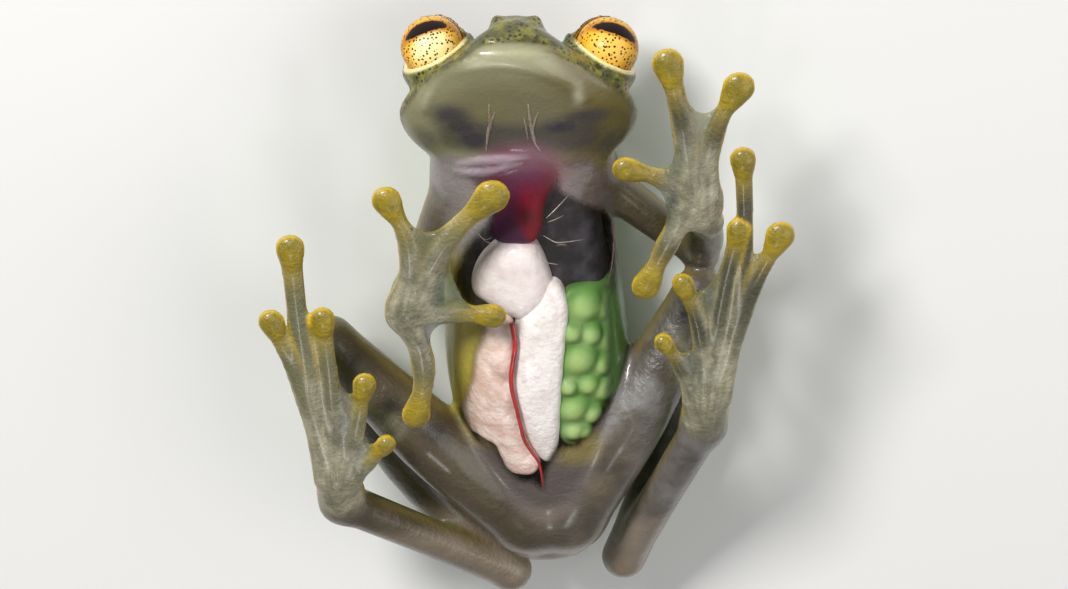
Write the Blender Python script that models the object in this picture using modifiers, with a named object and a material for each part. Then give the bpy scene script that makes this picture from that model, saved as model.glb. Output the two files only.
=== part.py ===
"""A life-size glass frog, a gravid female seen from below as it clings to clear glass.

The frog lies on its back with its head towards +Y, its belly up and the soles of its
hands and feet raised to one level plane, the plane of the glass. +X is its left side.
Sizes are in millimetres while the pieces are made. The last step stands the frog on
z = 0 with its box centred on the origin, and turns the meshes into metres.
"""

import math

import bmesh
import bpy
from mathutils import Matrix, Vector

# Units and clearances
METRES = 0.001
GAP = 0.25
WELD = 0.0004
WEB_THICKNESS = 0.5
SOLE_LEVEL = 7.45

# Trunk stations: place along Y, half width, height of the back, height of the belly
TRUNK = (
    (7.9, 2.75, 0.95, 5.1),
    (6.2, 3.05, 0.65, 5.7),
    (4.4, 3.2, 0.3, 6.1),
    (2.0, 3.45, 0.0, 6.5),
    (-0.8, 3.72, -0.12, 6.85),
    (-3.6, 3.75, -0.12, 6.85),
    (-6.2, 3.4, -0.06, 6.5),
    (-8.6, 2.8, 0.3, 5.9),
    (-10.6, 2.3, 1.0, 5.2),
    (-11.9, 1.85, 1.8, 4.7),
)
TRUNK_POWER = 2.3
ROUND = (2.0, 2.0)
SHOULDER_SIZE = 1.25
HIP_SIZE = 1.45

# Head frame: its origin lies midway between the eyes, +Y to the snout and +Z to the throat
HEAD_PLACE = Vector((0.05, 11.44, 4.2))
HEAD_YAW = math.radians(-4.5)
HEAD_PITCH = math.radians(26.0)

# The snout leans to the frog's right by this share of the way ahead of the eyes
SNOUT_LEAN = 0.14

# Head stations: place along its Y, half width at the lips, crown height, throat height
HEAD = (
    (1.95, 1.7, 0.05, 2.1),
    (1.45, 2.5, -0.4, 2.35),
    (0.7, 3.3, -0.75, 2.55),
    (-0.5, 4.25, -0.95, 2.7),
    (-2.2, 4.8, -1.1, 2.85),
    (-3.5, 4.5, -1.2, 3.05),
    (-4.5, 3.75, -1.35, 3.25),
    (-5.5, 3.2, -1.5, 3.4),
    (-6.6, 2.95, -1.6, 3.4),
)
CROWN_POWER = 1.35
THROAT_POWER = 2.1
LIP_HEIGHT = 1.7
LIP_SIZE = 0.26
MOUTH_HEIGHT = 1.95
EYE_PLACE = Vector((3.5, 0.0, 0.0))
EYE_AXIS = Vector((0.42, 0.78, -0.46))
EYE_RADIUS = 1.25
EYE_GAP = 0.2
ORBIT_RADIUS = 1.55
ORBIT_SHIFT = Vector((-0.25, -0.5, 0.35))
LID_SIZE = 0.22
LID_SETBACK = 0.3
NOSTRIL_PLACE = Vector((0.7, 1.45, -0.2))
NOSTRIL_BUMP = 0.42
NOSTRIL_PIT = 0.17

# The plane that parts the head from the trunk
NECK_PLACE = Vector((0.0, 6.7, 3.4))
NECK_NORMAL = Vector((0.0, math.cos(HEAD_PITCH / 2), math.sin(HEAD_PITCH / 2)))

# Organs that show through the belly skin: place and half sizes in X and Y
HEART = ((-0.5, 6.3, 1.7, 1.0), (-0.5, 5.2, 1.25, 1.2), (-0.5, 4.3, 0.9, 0.85))
LIVER = ((-0.9, 1.95, 1.6, 1.45), (-0.7, 0.95, 1.15, 0.9))
STOMACH = ((0.45, 0.2, 0.75, 1.1), (0.2, -2.2, 0.95, 2.4), (0.05, -4.6, 0.7, 1.8))
INTESTINE = ((-1.95, -1.2, 1.0, 1.15), (-2.2, -3.0, 1.15, 1.3), (-2.4, -4.6, 1.15, 1.2),
             (-1.3, -6.2, 0.85, 1.2), (-1.75, -2.4, 0.9, 1.7))
ORGAN_SINK = 0.35
EGG_RADIUS = 0.58
EGG_SPACING = 0.86
EGG_FIELD = (1.75, 3.35, -5.7, 0.5)
VEIN = ((-0.93, -0.3), (-1.0, -1.4), (-1.14, -2.5), (-1.02, -3.7), (-0.8, -5.2), (-0.4, -6.3),
        (-0.17, -7.1), (-0.12, -7.9))
VEIN_RADIUS = 0.22
ORGAN_DEPTH = 1.1
ORGAN_RISE = 0.1

# Limb joints and radii: (place, radius) pairs that each limb is read from
SIDES = ("right", "left")
ARM = {
    "right": {"shoulder": (-2.5, 5.7, 3.7), "elbow": (-4.95, 0.35, 2.3),
              "wrist": (-5.72, 0.95, 6.75)},
    "left": {"shoulder": (2.4, 5.6, 3.7), "elbow": (6.95, 0.75, 2.7),
             "wrist": (7.15, 4.4, 6.75)},
}
UPPER_ARM_RADII = (0.95, 0.8, 0.7)
FOREARM_RADII = (0.72, 0.82, 0.52)
LEG = {
    "right": {"hip": (-0.9, -10.3, 4.2), "knee": (-8.5, -1.75, 3.7),
              "heel": (-1.75, -14.0, 2.5), "ankle": (-8.4, -7.9, 6.35)},
    "left": {"hip": (0.9, -10.3, 4.2), "knee": (6.75, -0.55, 3.7),
             "heel": (3.1, -13.7, 2.5), "ankle": (6.6, -5.35, 6.35)},
}
THIGH_RADII = (1.6, 1.5, 1.02)
THIGH_BOW = (0.0, 0.7)
SHANK_RADII = (0.95, 1.12, 0.85)
SHANK_BOW = (0.8, -0.75)
TARSUS_RADII = (0.85, 0.8, 0.82)

# Hands: palm centre and half sizes, then each finger's root, tip, sideways bow, radius, pad
PALM = {"right": ((-5.15, 1.5), (0.88, 1.05)), "left": ((6.75, 5.6), (1.05, 1.25))}
FINGERS = {
    "right": (
        ((-5.17, 1.1), (-5.11, -3.35), -0.42, 0.48, 0.6),
        ((-4.89, 1.4), (-1.67, 1.04), -0.06, 0.44, 0.53),
        ((-4.75, 1.95), (-1.43, 6.53), -0.38, 0.5, 0.74),
        ((-5.38, 1.9), (-5.67, 6.65), 0.54, 0.42, 0.62),
    ),
    "left": (
        ((6.45, 5.6), (4.53, 1.98), 0.03, 0.46, 0.62),
        ((6.5, 5.95), (3.94, 7.37), 0.19, 0.4, 0.55),
        ((6.6, 6.1), (5.86, 11.99), 0.11, 0.48, 0.66),
        ((7.2, 5.95), (8.64, 10.73), -0.37, 0.42, 0.67),
    ),
}
# Each web: its two digits and how far along each it reaches
FINGER_WEBS = {
    "right": ((0, 1, 0.35, 0.45), (1, 2, 0.72, 0.52), (2, 3, 0.72, 0.76)),
    "left": ((0, 1, 0.45, 0.55), (1, 2, 0.5, 0.5), (2, 3, 0.74, 0.8)),
}

# Feet: toes from the inner to the outer one, as the fingers
TOES = {
    "right": (
        ((-7.94, -6.4), (-6.4, -4.61), 0.0, 0.34, 0.4),
        ((-8.3, -6.25), (-7.1, -1.73), 0.08, 0.37, 0.5),
        ((-8.6, -6.2), (-8.6, 1.41), 0.1, 0.4, 0.52),
        ((-8.74, -6.2), (-9.66, 4.75), -0.22, 0.49, 0.6),
        ((-8.95, -6.25), (-10.69, 1.45), 0.23, 0.4, 0.53),
    ),
    "left": (
        ((6.19, -3.75), (5.1, -0.63), 0.17, 0.33, 0.37),
        ((6.49, -3.6), (6.02, 2.01), 0.35, 0.36, 0.45),
        ((6.81, -3.6), (8.34, 4.35), -0.1, 0.37, 0.44),
        ((7.1, -3.6), (8.68, 7.5), 0.45, 0.41, 0.54),
        ((7.3, -3.6), (10.05, 3.93), -0.28, 0.39, 0.62),
    ),
}
TOE_WEBS = {
    "right": ((0, 1, 0.8, 0.5), (1, 2, 0.86, 0.66), (2, 3, 0.95, 0.72), (3, 4, 0.72, 0.97)),
    "left": ((0, 1, 0.75, 0.46), (1, 2, 0.9, 0.9), (2, 3, 0.97, 0.74), (3, 4, 0.7, 0.9)),
}
WEB_HOLLOW = 0.14
INSTEP_RADIUS = 0.75
PAD_THICKNESS = 0.34
DIGIT_FLATNESS = 0.75

# How finely the soft forms are sampled before they are thinned to a number of triangles
BODY_CELL = 0.27
HEAD_CELL = 0.17
HAND_CELL = 0.12
ORGAN_CELL = 0.17
EGG_CELL = 0.13

COLOURS = {
    "skin": ((0.42, 0.44, 0.30), 0.35),
    "belly": ((0.50, 0.47, 0.45), 0.25),
    "limb": ((0.42, 0.39, 0.33), 0.35),
    "hand": ((0.62, 0.56, 0.20), 0.3),
    "eye": ((0.80, 0.42, 0.05), 0.1),
    "heart": ((0.38, 0.02, 0.06), 0.3),
    "liver": ((0.85, 0.78, 0.76), 0.4),
    "gut": ((0.85, 0.62, 0.54), 0.4),
    "vein": ((0.65, 0.05, 0.03), 0.3),
    "eggs": ((0.16, 0.48, 0.10), 0.35),
}


def clear_scene():
    """Remove every object of the scene that the script starts in"""
    for thing in list(bpy.data.objects):
        bpy.data.objects.remove(thing, do_unlink=True)


def new_collection(name):
    """A collection under the scene's own"""
    collection = bpy.data.collections.new(name)
    bpy.context.scene.collection.children.link(collection)
    return collection


def add_mesh(name, shape):
    """Turn a bmesh into an object of the working collection"""
    bmesh.ops.recalc_face_normals(shape, faces=shape.faces)
    mesh = bpy.data.meshes.new(name)
    shape.to_mesh(mesh)
    shape.free()
    piece = bpy.data.objects.new(name, mesh)
    bpy.context.scene.collection.objects.link(piece)
    return piece


def remove(piece):
    """Remove an object that is no longer needed"""
    bpy.data.objects.remove(piece, do_unlink=True)


def ring(centre, across, up, half_width, halves, powers, sides):
    """A rounded section whose upper and lower halves have their own height and power"""
    points = []
    for step in range(sides):
        angle = 2 * math.pi * step / sides
        x, z = math.cos(angle), math.sin(angle)
        height = halves[0] if z > 0 else halves[1]
        power = powers[0] if z > 0 else powers[1]
        wide = math.copysign(abs(x) ** (2 / power), x) * half_width
        high = math.copysign(abs(z) ** (2 / power), z) * height
        points.append(centre + across * wide + up * high)
    return points


def loft(name, rings):
    """A closed skin over a row of sections with the same number of points"""
    shape = bmesh.new()
    rows = [[shape.verts.new(point) for point in section] for section in rings]
    sides = len(rows[0])
    for before, after in zip(rows, rows[1:]):
        for step in range(sides):
            beside = (step + 1) % sides
            shape.faces.new((before[step], before[beside], after[beside], after[step]))
    for row in (rows[0], rows[-1]):
        middle = shape.verts.new(sum((vert.co for vert in row), Vector()) / sides)
        for step in range(sides):
            shape.faces.new((row[step], row[(step + 1) % sides], middle))
    return add_mesh(name, shape)


def blend(values, place):
    """The value at a place from 0 to 1 of a row of values, read from a smooth curve"""
    span = place * (len(values) - 1)
    index = min(int(span), len(values) - 2)
    part = span - index
    before = values[max(index - 1, 0)]
    start, end = values[index], values[index + 1]
    after = values[min(index + 2, len(values) - 1)]
    lean_in, lean_out = (end - before) * 0.5, (after - start) * 0.5
    square, cube = part * part, part ** 3
    return (start * (2 * cube - 3 * square + 1) + lean_in * (cube - 2 * square + part)
            + end * (3 * square - 2 * cube) + lean_out * (cube - square))


def tube(name, route, radii, steps=6, sides=10, flat=1.0):
    """A limb of round sections along a smooth route, with a dome on each end"""
    rings = []
    dome = (-0.97, -0.8, -0.45)
    places = [0.0] * len(dome) + [step / steps for step in range(steps + 1)] + [1.0] * len(dome)
    domes = list(dome) + [0.0] * (steps + 1) + [-value for value in reversed(dome)]
    across = None
    for place, swell in zip(places, domes):
        ahead = blend(route, min(place + 0.01, 1.0)) - blend(route, max(place - 0.01, 0.0))
        ahead.normalize()
        if across is None:
            across = ahead.cross(Vector((0.0, 0.0, 1.0)))
            if across.length < 0.2:
                across = ahead.cross(Vector((0.0, 1.0, 0.0)))
        across = (across - ahead * across.dot(ahead)).normalized()
        up = across.cross(ahead)
        radius = blend(radii, place)
        centre = blend(route, place) + ahead * radius * swell
        width = radius * math.sqrt(1 - swell * swell)
        rings.append(ring(centre, across, up, width, (width * flat,) * 2, ROUND, sides))
    return loft(name, rings)


def ball(name, centre, sizes, turn=None, fine=2):
    """A ball stretched to three half sizes, turned and put in place"""
    shape = bmesh.new()
    bmesh.ops.create_icosphere(shape, subdivisions=fine, radius=1.0)
    matrix = Matrix.Diagonal((*sizes, 1.0))
    if turn is not None:
        matrix = turn.to_4x4() @ matrix
    bmesh.ops.transform(shape, matrix=Matrix.Translation(centre) @ matrix, verts=shape.verts)
    return add_mesh(name, shape)


def apply_modifiers(piece):
    """Make the evaluated mesh the object's own and drop its modifiers"""
    depsgraph = bpy.context.evaluated_depsgraph_get()
    mesh = bpy.data.meshes.new_from_object(piece.evaluated_get(depsgraph))
    piece.modifiers.clear()
    piece.data = mesh


def keep_largest(piece):
    """Keep only the closed surface with the most volume"""
    shape = bmesh.new()
    shape.from_mesh(piece.data)
    bmesh.ops.remove_doubles(shape, verts=shape.verts, dist=WELD)
    bmesh.ops.triangulate(shape, faces=shape.faces)
    groups = []
    unseen = set(shape.faces)
    while unseen:
        group = []
        waiting = [unseen.pop()]
        while waiting:
            face = waiting.pop()
            group.append(face)
            for edge in face.edges:
                for other in edge.link_faces:
                    if other in unseen:
                        unseen.remove(other)
                        waiting.append(other)
        volume = sum(face.verts[0].co.dot(face.verts[1].co.cross(face.verts[2].co)) / 6
                     for face in group)
        groups.append((abs(volume), group))
    groups.sort(key=lambda entry: entry[0])
    for _, group in groups[:-1]:
        bmesh.ops.delete(shape, geom=group, context="FACES")
    shape.to_mesh(piece.data)
    shape.free()


def boolean(piece, others, operation):
    """One Boolean of a piece with a collection of closed pieces, which are then removed"""
    helpers = bpy.data.collections.new("helpers")
    for other in others:
        helpers.objects.link(other)
    modifier = piece.modifiers.new(operation.lower(), "BOOLEAN")
    modifier.operation = operation
    modifier.operand_type = "COLLECTION"
    modifier.collection = helpers
    apply_modifiers(piece)
    for other in others:
        remove(other)
    bpy.data.collections.remove(helpers)
    keep_largest(piece)


def join(name, pieces):
    """Fuse closed pieces into one body"""
    body = pieces[0]
    if len(pieces) > 1:
        boolean(body, pieces[1:], "UNION")
    body.name = name
    return body


def soften(piece, cell, rounds, triangles):
    """Let the fused forms flow into each other, then thin the mesh"""
    remesh = piece.modifiers.new("even cells", "REMESH")
    remesh.mode = "VOXEL"
    remesh.voxel_size = cell
    smooth = piece.modifiers.new("flow", "SMOOTH")
    smooth.factor = 0.5
    smooth.iterations = rounds
    apply_modifiers(piece)
    keep_largest(piece)
    thin = piece.modifiers.new("thin", "DECIMATE")
    thin.ratio = min(triangles / len(piece.data.polygons), 1.0)
    apply_modifiers(piece)
    keep_largest(piece)


def copy_of(piece, grow=0.0):
    """A copy whose surface is moved out along its normals"""
    shape = bmesh.new()
    shape.from_mesh(piece.data)
    shape.normal_update()
    moves = [(vert, vert.normal * grow) for vert in shape.verts]
    for vert, move in moves:
        vert.co += move
    return add_mesh(piece.name + " copy", shape)


def cut_by(piece, neighbours, gap=GAP):
    """Cut a piece clear of its neighbours"""
    boolean(piece, [copy_of(neighbour, gap) for neighbour in neighbours], "DIFFERENCE")


def trim(piece, place, normal):
    """Cut away what lies beyond a plane and close the face"""
    shape = bmesh.new()
    shape.from_mesh(piece.data)
    geometry = shape.verts[:] + shape.edges[:] + shape.faces[:]
    cut = bmesh.ops.bisect_plane(shape, geom=geometry, plane_co=place, plane_no=normal,
                                 clear_outer=True)
    rim = [item for item in cut["geom_cut"] if isinstance(item, bmesh.types.BMEdge)]
    bmesh.ops.edgeloop_fill(shape, edges=rim)
    bmesh.ops.triangulate(shape, faces=shape.faces)
    shape.to_mesh(piece.data)
    shape.free()
    keep_largest(piece)


def mitre(first, second, joint, before, after):
    """Part two limbs that meet at a joint by the plane that halves their bend"""
    normal = ((joint - before).normalized() + (after - joint).normalized()).normalized()
    trim(first, joint - normal * GAP / 2, normal)
    trim(second, joint + normal * GAP / 2, -normal)


def head_matrix():
    """From the head's own frame to the frog's"""
    turn = Matrix.Rotation(HEAD_YAW, 4, "Z") @ Matrix.Rotation(HEAD_PITCH, 4, "X")
    return Matrix.Translation(HEAD_PLACE) @ turn


def mirrored(vector, side):
    """A place given for the frog's left side, on either side"""
    return Vector((vector.x * (1 if side == "left" else -1), vector.y, vector.z))


def leaned(vector):
    """A place of the head, moved to the frog's right by its way ahead of the eyes"""
    return Vector((vector.x - SNOUT_LEAN * max(vector.y, 0.0), vector.y, vector.z))


def make_trunk():
    """The trunk with its shoulders and hips"""
    rings = []
    for y, half_width, back, belly in TRUNK:
        middle = (back + belly) / 2
        half = (belly - back) / 2
        centre = Vector((0.0, y, middle))
        rings.append(ring(centre, Vector((1, 0, 0)), Vector((0, 0, 1)), half_width,
                          (half, half), (TRUNK_POWER, TRUNK_POWER), 24))
    last = rings[-1]
    middle = sum(last, Vector()) / len(last)
    rings.append([middle + (point - middle) * 0.72 + Vector((0, -0.55, 0)) for point in last])
    rings.append([middle + (point - middle) * 0.35 + Vector((0, -0.85, 0)) for point in last])
    pieces = [loft("torso", rings)]
    for side in SIDES:
        shoulder = Vector(ARM[side]["shoulder"])
        hip = Vector(LEG[side]["hip"])
        pieces.append(ball("shoulder", shoulder, (SHOULDER_SIZE,) * 3))
        pieces.append(ball("hip", hip, (HIP_SIZE,) * 3))
    trunk = join("torso", pieces)
    soften(trunk, BODY_CELL, 8, 1300)
    return trunk


def make_head():
    """The whole head in its own frame, before the mouth parts it"""
    rings = []
    for y, half_width, crown, throat in HEAD:
        centre = leaned(Vector((0.0, y, LIP_HEIGHT)))
        rings.append(ring(centre, Vector((1, 0, 0)), Vector((0, 0, 1)), half_width,
                          (throat - LIP_HEIGHT, LIP_HEIGHT - crown),
                          (THROAT_POWER, CROWN_POWER), 28))
    first = rings[0]
    middle = leaned(Vector((0.0, HEAD[0][0], LIP_HEIGHT - 0.2)))
    nose = [[middle + (point - middle) * 0.45 + Vector((0, 0.3, 0)) for point in first],
            [middle + (point - middle) * 0.8 + Vector((0, 0.2, 0)) for point in first]]
    pieces = [loft("head", nose + rings)]
    lip = [leaned(Vector((half_width * 0.92 * sign, y, LIP_HEIGHT - 0.1)))
           for sign, stations in ((-1, HEAD[5::-1]), (1, HEAD[0:6]))
           for y, half_width, _, _ in stations]
    lip.insert(6, leaned(Vector((0.0, HEAD[0][0] + 0.25, LIP_HEIGHT - 0.1))))
    pieces.append(tube("lip", lip, [LIP_SIZE] * len(lip), steps=24, sides=8))
    for side in SIDES:
        eye = mirrored(EYE_PLACE, side)
        axis = mirrored(EYE_AXIS, side).normalized()
        pieces.append(ball("orbit", eye + mirrored(ORBIT_SHIFT, side), (ORBIT_RADIUS,) * 3, fine=3))
        pieces.append(make_lid(eye, axis))
        pieces.append(ball("nostril", leaned(mirrored(NOSTRIL_PLACE, side)), (NOSTRIL_BUMP,) * 3))
    head = join("head", pieces)
    soften(head, HEAD_CELL, 3, 2300)
    cutters = []
    for side in SIDES:
        cutters.append(ball("socket", mirrored(EYE_PLACE, side), (EYE_RADIUS + EYE_GAP,) * 3,
                            fine=3))
        pit = leaned(mirrored(NOSTRIL_PLACE + Vector((0.22, 0.22, -0.18)), side))
        cutters.append(ball("pit", pit, (NOSTRIL_PIT,) * 3, fine=1))
    boolean(head, cutters, "DIFFERENCE")
    return head


def make_lid(eye, axis):
    """A raised ring of skin round the eyeball"""
    radius = EYE_RADIUS + EYE_GAP + LID_SIZE * 0.35
    across = axis.orthogonal().normalized()
    up = axis.cross(across)
    steps = 28
    shape = bmesh.new()
    rows = []
    for step in range(steps):
        angle = 2 * math.pi * step / steps
        out = across * math.cos(angle) + up * math.sin(angle)
        centre = eye - axis * LID_SETBACK + out * radius * 0.96
        rows.append([shape.verts.new(point) for point in
                     ring(centre, out, axis, LID_SIZE, (LID_SIZE, LID_SIZE), ROUND, 8)])
    for step in range(steps):
        before, after = rows[step], rows[(step + 1) % steps]
        for side in range(8):
            beside = (side + 1) % 8
            shape.faces.new((before[side], before[beside], after[beside], after[side]))
    return add_mesh("lid", shape)


def make_eyes():
    """The two eyeballs in the head's frame"""
    eyes = []
    for side in SIDES:
        shape = bmesh.new()
        bmesh.ops.create_uvsphere(shape, u_segments=20, v_segments=12, radius=EYE_RADIUS)
        turn = mirrored(EYE_AXIS, side).to_track_quat("Z", "Y").to_matrix().to_4x4()
        place = Matrix.Translation(mirrored(EYE_PLACE, side))
        bmesh.ops.transform(shape, matrix=place @ turn, verts=shape.verts)
        eyes.append(add_mesh("eye_" + side, shape))
    return eyes


def belly_height(x, y):
    """The height of the belly skin, read from the trunk's stations"""
    rows = sorted(TRUNK)
    for before, after in zip(rows, rows[1:]):
        if before[0] <= y <= after[0]:
            part = (y - before[0]) / (after[0] - before[0])
            width, back, belly = (before[i] + (after[i] - before[i]) * part for i in (1, 2, 3))
            side = min(abs(x) / width, 0.98) ** TRUNK_POWER
            return (back + belly) / 2 + (belly - back) / 2 * (1 - side) ** (1 / TRUNK_POWER)
    return rows[0][3]


def organ(name, lumps):
    """Flattened lumps that lie in the belly skin, fused into one"""
    pieces = [ball(name, Vector((x, y, belly_height(x, y) - ORGAN_SINK)),
                   (wide, deep, ORGAN_DEPTH)) for x, y, wide, deep in lumps]
    body = join(name, pieces)
    soften(body, ORGAN_CELL, 2, 230)
    return body


def egg_places():
    """Egg centres in staggered rows over the field in the left flank of the belly"""
    left, right, low, high = EGG_FIELD
    rows = int((high - low) / (EGG_SPACING * 0.87)) + 1
    places = []
    for row in range(rows):
        y = high - row * EGG_SPACING * 0.87
        lean = 0.22 * (row % 2) - 0.1 * row
        x = left + (EGG_SPACING / 2 if row % 2 else 0.0)
        while x < right + lean * 0.2:
            places.append((x + 0.06 * math.sin(5 * x + row), y + 0.08 * math.sin(3 * x + 2 * row)))
            x += EGG_SPACING
    return places


def make_organs(trunk):
    """The organs, each shaped by the belly skin above it and clear of the others"""
    heart = organ("heart", HEART)
    liver = organ("liver", LIVER)
    stomach = organ("stomach", STOMACH)
    gut = organ("intestine", INTESTINE)
    route = [Vector((x, y, belly_height(x, y) - 0.16)) for x, y in VEIN]
    vein = tube("belly_vein", route, [VEIN_RADIUS] * len(route), steps=12, sides=8)
    eggs = join("eggs", [ball("egg", Vector((x, y, belly_height(x, y) - EGG_RADIUS * 0.75)),
                              (EGG_RADIUS,) * 3) for x, y in egg_places()])
    soften(eggs, EGG_CELL, 1, 640)
    cut_by(stomach, [liver, vein, eggs])
    cut_by(gut, [liver, vein, stomach])
    organs = [heart, liver, stomach, gut, vein, eggs]
    for piece in organs[:4]:
        boolean(piece, [copy_of(trunk, ORGAN_RISE)], "INTERSECT")
    return organs


def make_arm(side, trunk):
    """The upper arm and the forearm of one side"""
    joints = {key: Vector(value) for key, value in ARM[side].items()}
    shoulder, elbow, wrist = joints["shoulder"], joints["elbow"], joints["wrist"]
    upper = tube("upper_arm_" + side, [shoulder, shoulder.lerp(elbow, 0.5), elbow],
                 UPPER_ARM_RADII, sides=12)
    lower = tube("forearm_" + side, [elbow, elbow.lerp(wrist, 0.5), wrist],
                 FOREARM_RADII, sides=12)
    mitre(upper, lower, elbow, shoulder, wrist)
    cut_by(upper, [trunk])
    return upper, lower


def make_leg(side, trunk):
    """The thigh, shank and tarsus of one side, folded beside each other"""
    joints = {key: Vector(value) for key, value in LEG[side].items()}
    hip, knee, heel, ankle = (joints[key] for key in ("hip", "knee", "heel", "ankle"))
    rise = Vector((0.0, 0.0, 1.0))
    outward = (knee - hip).cross(rise).normalized() * (-1 if side == "right" else 1)
    thigh_middle = hip.lerp(knee, 0.5) + outward * THIGH_BOW[0] + rise * THIGH_BOW[1]
    shank_middle = knee.lerp(heel, 0.5) + outward * SHANK_BOW[0] + rise * SHANK_BOW[1]
    thigh = tube("thigh_" + side, [hip, thigh_middle, knee], THIGH_RADII, steps=8, sides=12)
    shank = tube("shank_" + side, [knee, shank_middle, heel], SHANK_RADII, steps=8, sides=12)
    tarsus = tube("tarsus_" + side, [heel, heel.lerp(ankle, 0.5), ankle],
                  TARSUS_RADII, sides=10)
    mitre(thigh, shank, knee, hip, heel)
    mitre(shank, tarsus, heel, knee, ankle)
    cut_by(thigh, [trunk])
    cut_by(shank, [trunk, thigh])
    return thigh, shank, tarsus


def digit_route(root, tip, bow, level):
    """A curved line from a digit's root to its pad"""
    start, end = Vector((*root, level)), Vector((*tip, SOLE_LEVEL))
    beside = Vector((end.y - start.y, start.x - end.x, 0.0)).normalized()
    return [start, start.lerp(end, 1 / 3) + beside * bow, start.lerp(end, 2 / 3) + beside * bow, end]


def make_digit(route, radius, pad):
    """A finger or toe with the round pad of its tip"""
    end = route[-1]
    back = (route[-2] - end).normalized()
    slim = radius * 0.92
    bone = tube("digit", route, [radius * 1.12, radius, slim, slim], steps=8, sides=8,
                flat=DIGIT_FLATNESS)
    disc = ball("pad", end + back * 0.05, (pad, pad * 0.94, PAD_THICKNESS))
    neck = ball("pad neck", end + back * pad * 0.9, (pad * 0.72, pad * 0.72, PAD_THICKNESS * 0.9))
    return [bone, disc, neck]


def make_web(first, second, reach_first, reach_second):
    """A thin plate of skin between two digits, with a hollow edge"""
    rings = []
    half = Vector((0.0, 0.0, WEB_THICKNESS / 2))
    across, along = 6, 6
    for step in range(across + 1):
        part = step / across
        hollow = 1 - WEB_HOLLOW * 4 * part * (1 - part)
        reach = (reach_first + (reach_second - reach_first) * part) * hollow
        line = [blend(first, reach * place / along).lerp(blend(second, reach * place / along), part)
                for place in range(along + 1)]
        rings.append([point + half for point in line] + [point - half for point in reversed(line)])
    return loft("web", rings)


def make_hand(side):
    """The palm, four fingers and their webs, blended into one form"""
    (x, y), (wide, deep) = PALM[side]
    wrist = Vector(ARM[side]["wrist"])
    routes = [digit_route(root, tip, bow, SOLE_LEVEL) for root, tip, bow, _, _ in FINGERS[side]]
    palm = Vector((x, y, SOLE_LEVEL - 0.1))
    pieces = [ball("palm", palm, (wide, deep, 0.5), fine=3)]
    pieces.append(tube("wrist", [wrist, palm], [FOREARM_RADII[-1], FOREARM_RADII[-1]], steps=2))
    for route, (_, _, _, radius, pad) in zip(routes, FINGERS[side]):
        pieces.extend(make_digit(route, radius, pad))
    for first, second, one, two in FINGER_WEBS[side]:
        pieces.append(make_web(routes[first], routes[second], one, two))
    hand = join("hand_" + side, pieces)
    soften(hand, HAND_CELL, 3, 800)
    return hand


def make_foot(side):
    """The instep, five toes and their webs, blended into one form"""
    ankle = Vector(LEG[side]["ankle"])
    heel = Vector(LEG[side]["heel"])
    routes = [digit_route(root, tip, bow, SOLE_LEVEL - 0.25) for root, tip, bow, _, _ in TOES[side]]
    middle = sum((route[0] for route in routes), Vector()) / len(routes)
    along = (ankle - heel).normalized()
    pieces = [tube("instep", [ankle, ankle.lerp(middle, 0.5) + along * 0.1, middle],
                   [TARSUS_RADII[-1], INSTEP_RADIUS, INSTEP_RADIUS], sides=12)]
    for route, (_, _, _, radius, pad) in zip(routes, TOES[side]):
        pieces.extend(make_digit(route, radius, pad))
    for first, second, one, two in TOE_WEBS[side]:
        pieces.append(make_web(routes[first], routes[second], one, two))
    foot = join("foot_" + side, pieces)
    soften(foot, HAND_CELL, 3, 1000)
    return foot


def material(name):
    """A Principled material from the colour table"""
    colour, roughness = COLOURS[name]
    surface = bpy.data.materials.get(name) or bpy.data.materials.new(name)
    surface.use_nodes = True
    shader = surface.node_tree.nodes["Principled BSDF"]
    shader.inputs["Base Color"].default_value = (*colour, 1.0)
    shader.inputs["Roughness"].default_value = roughness
    return surface


def finish(collection, nodes):
    """Give each node its material and put the frog on the floor, in metres"""
    corners = [vert.co for piece, _ in nodes for vert in piece.data.vertices]
    low = Vector([min(corner[axis] for corner in corners) for axis in range(3)])
    high = Vector([max(corner[axis] for corner in corners) for axis in range(3)])
    stand = Vector((-(low.x + high.x) / 2, -(low.y + high.y) / 2, -low.z))
    place = Matrix.Scale(METRES, 4) @ Matrix.Translation(stand)
    for piece, surface in nodes:
        piece.data.transform(place)
        piece.data.materials.clear()
        piece.data.materials.append(material(surface))
        piece.data.shade_smooth()
        piece.data.set_sharp_from_angle(angle=math.radians(40))
        bpy.context.scene.collection.objects.unlink(piece)
        collection.objects.link(piece)


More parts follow.
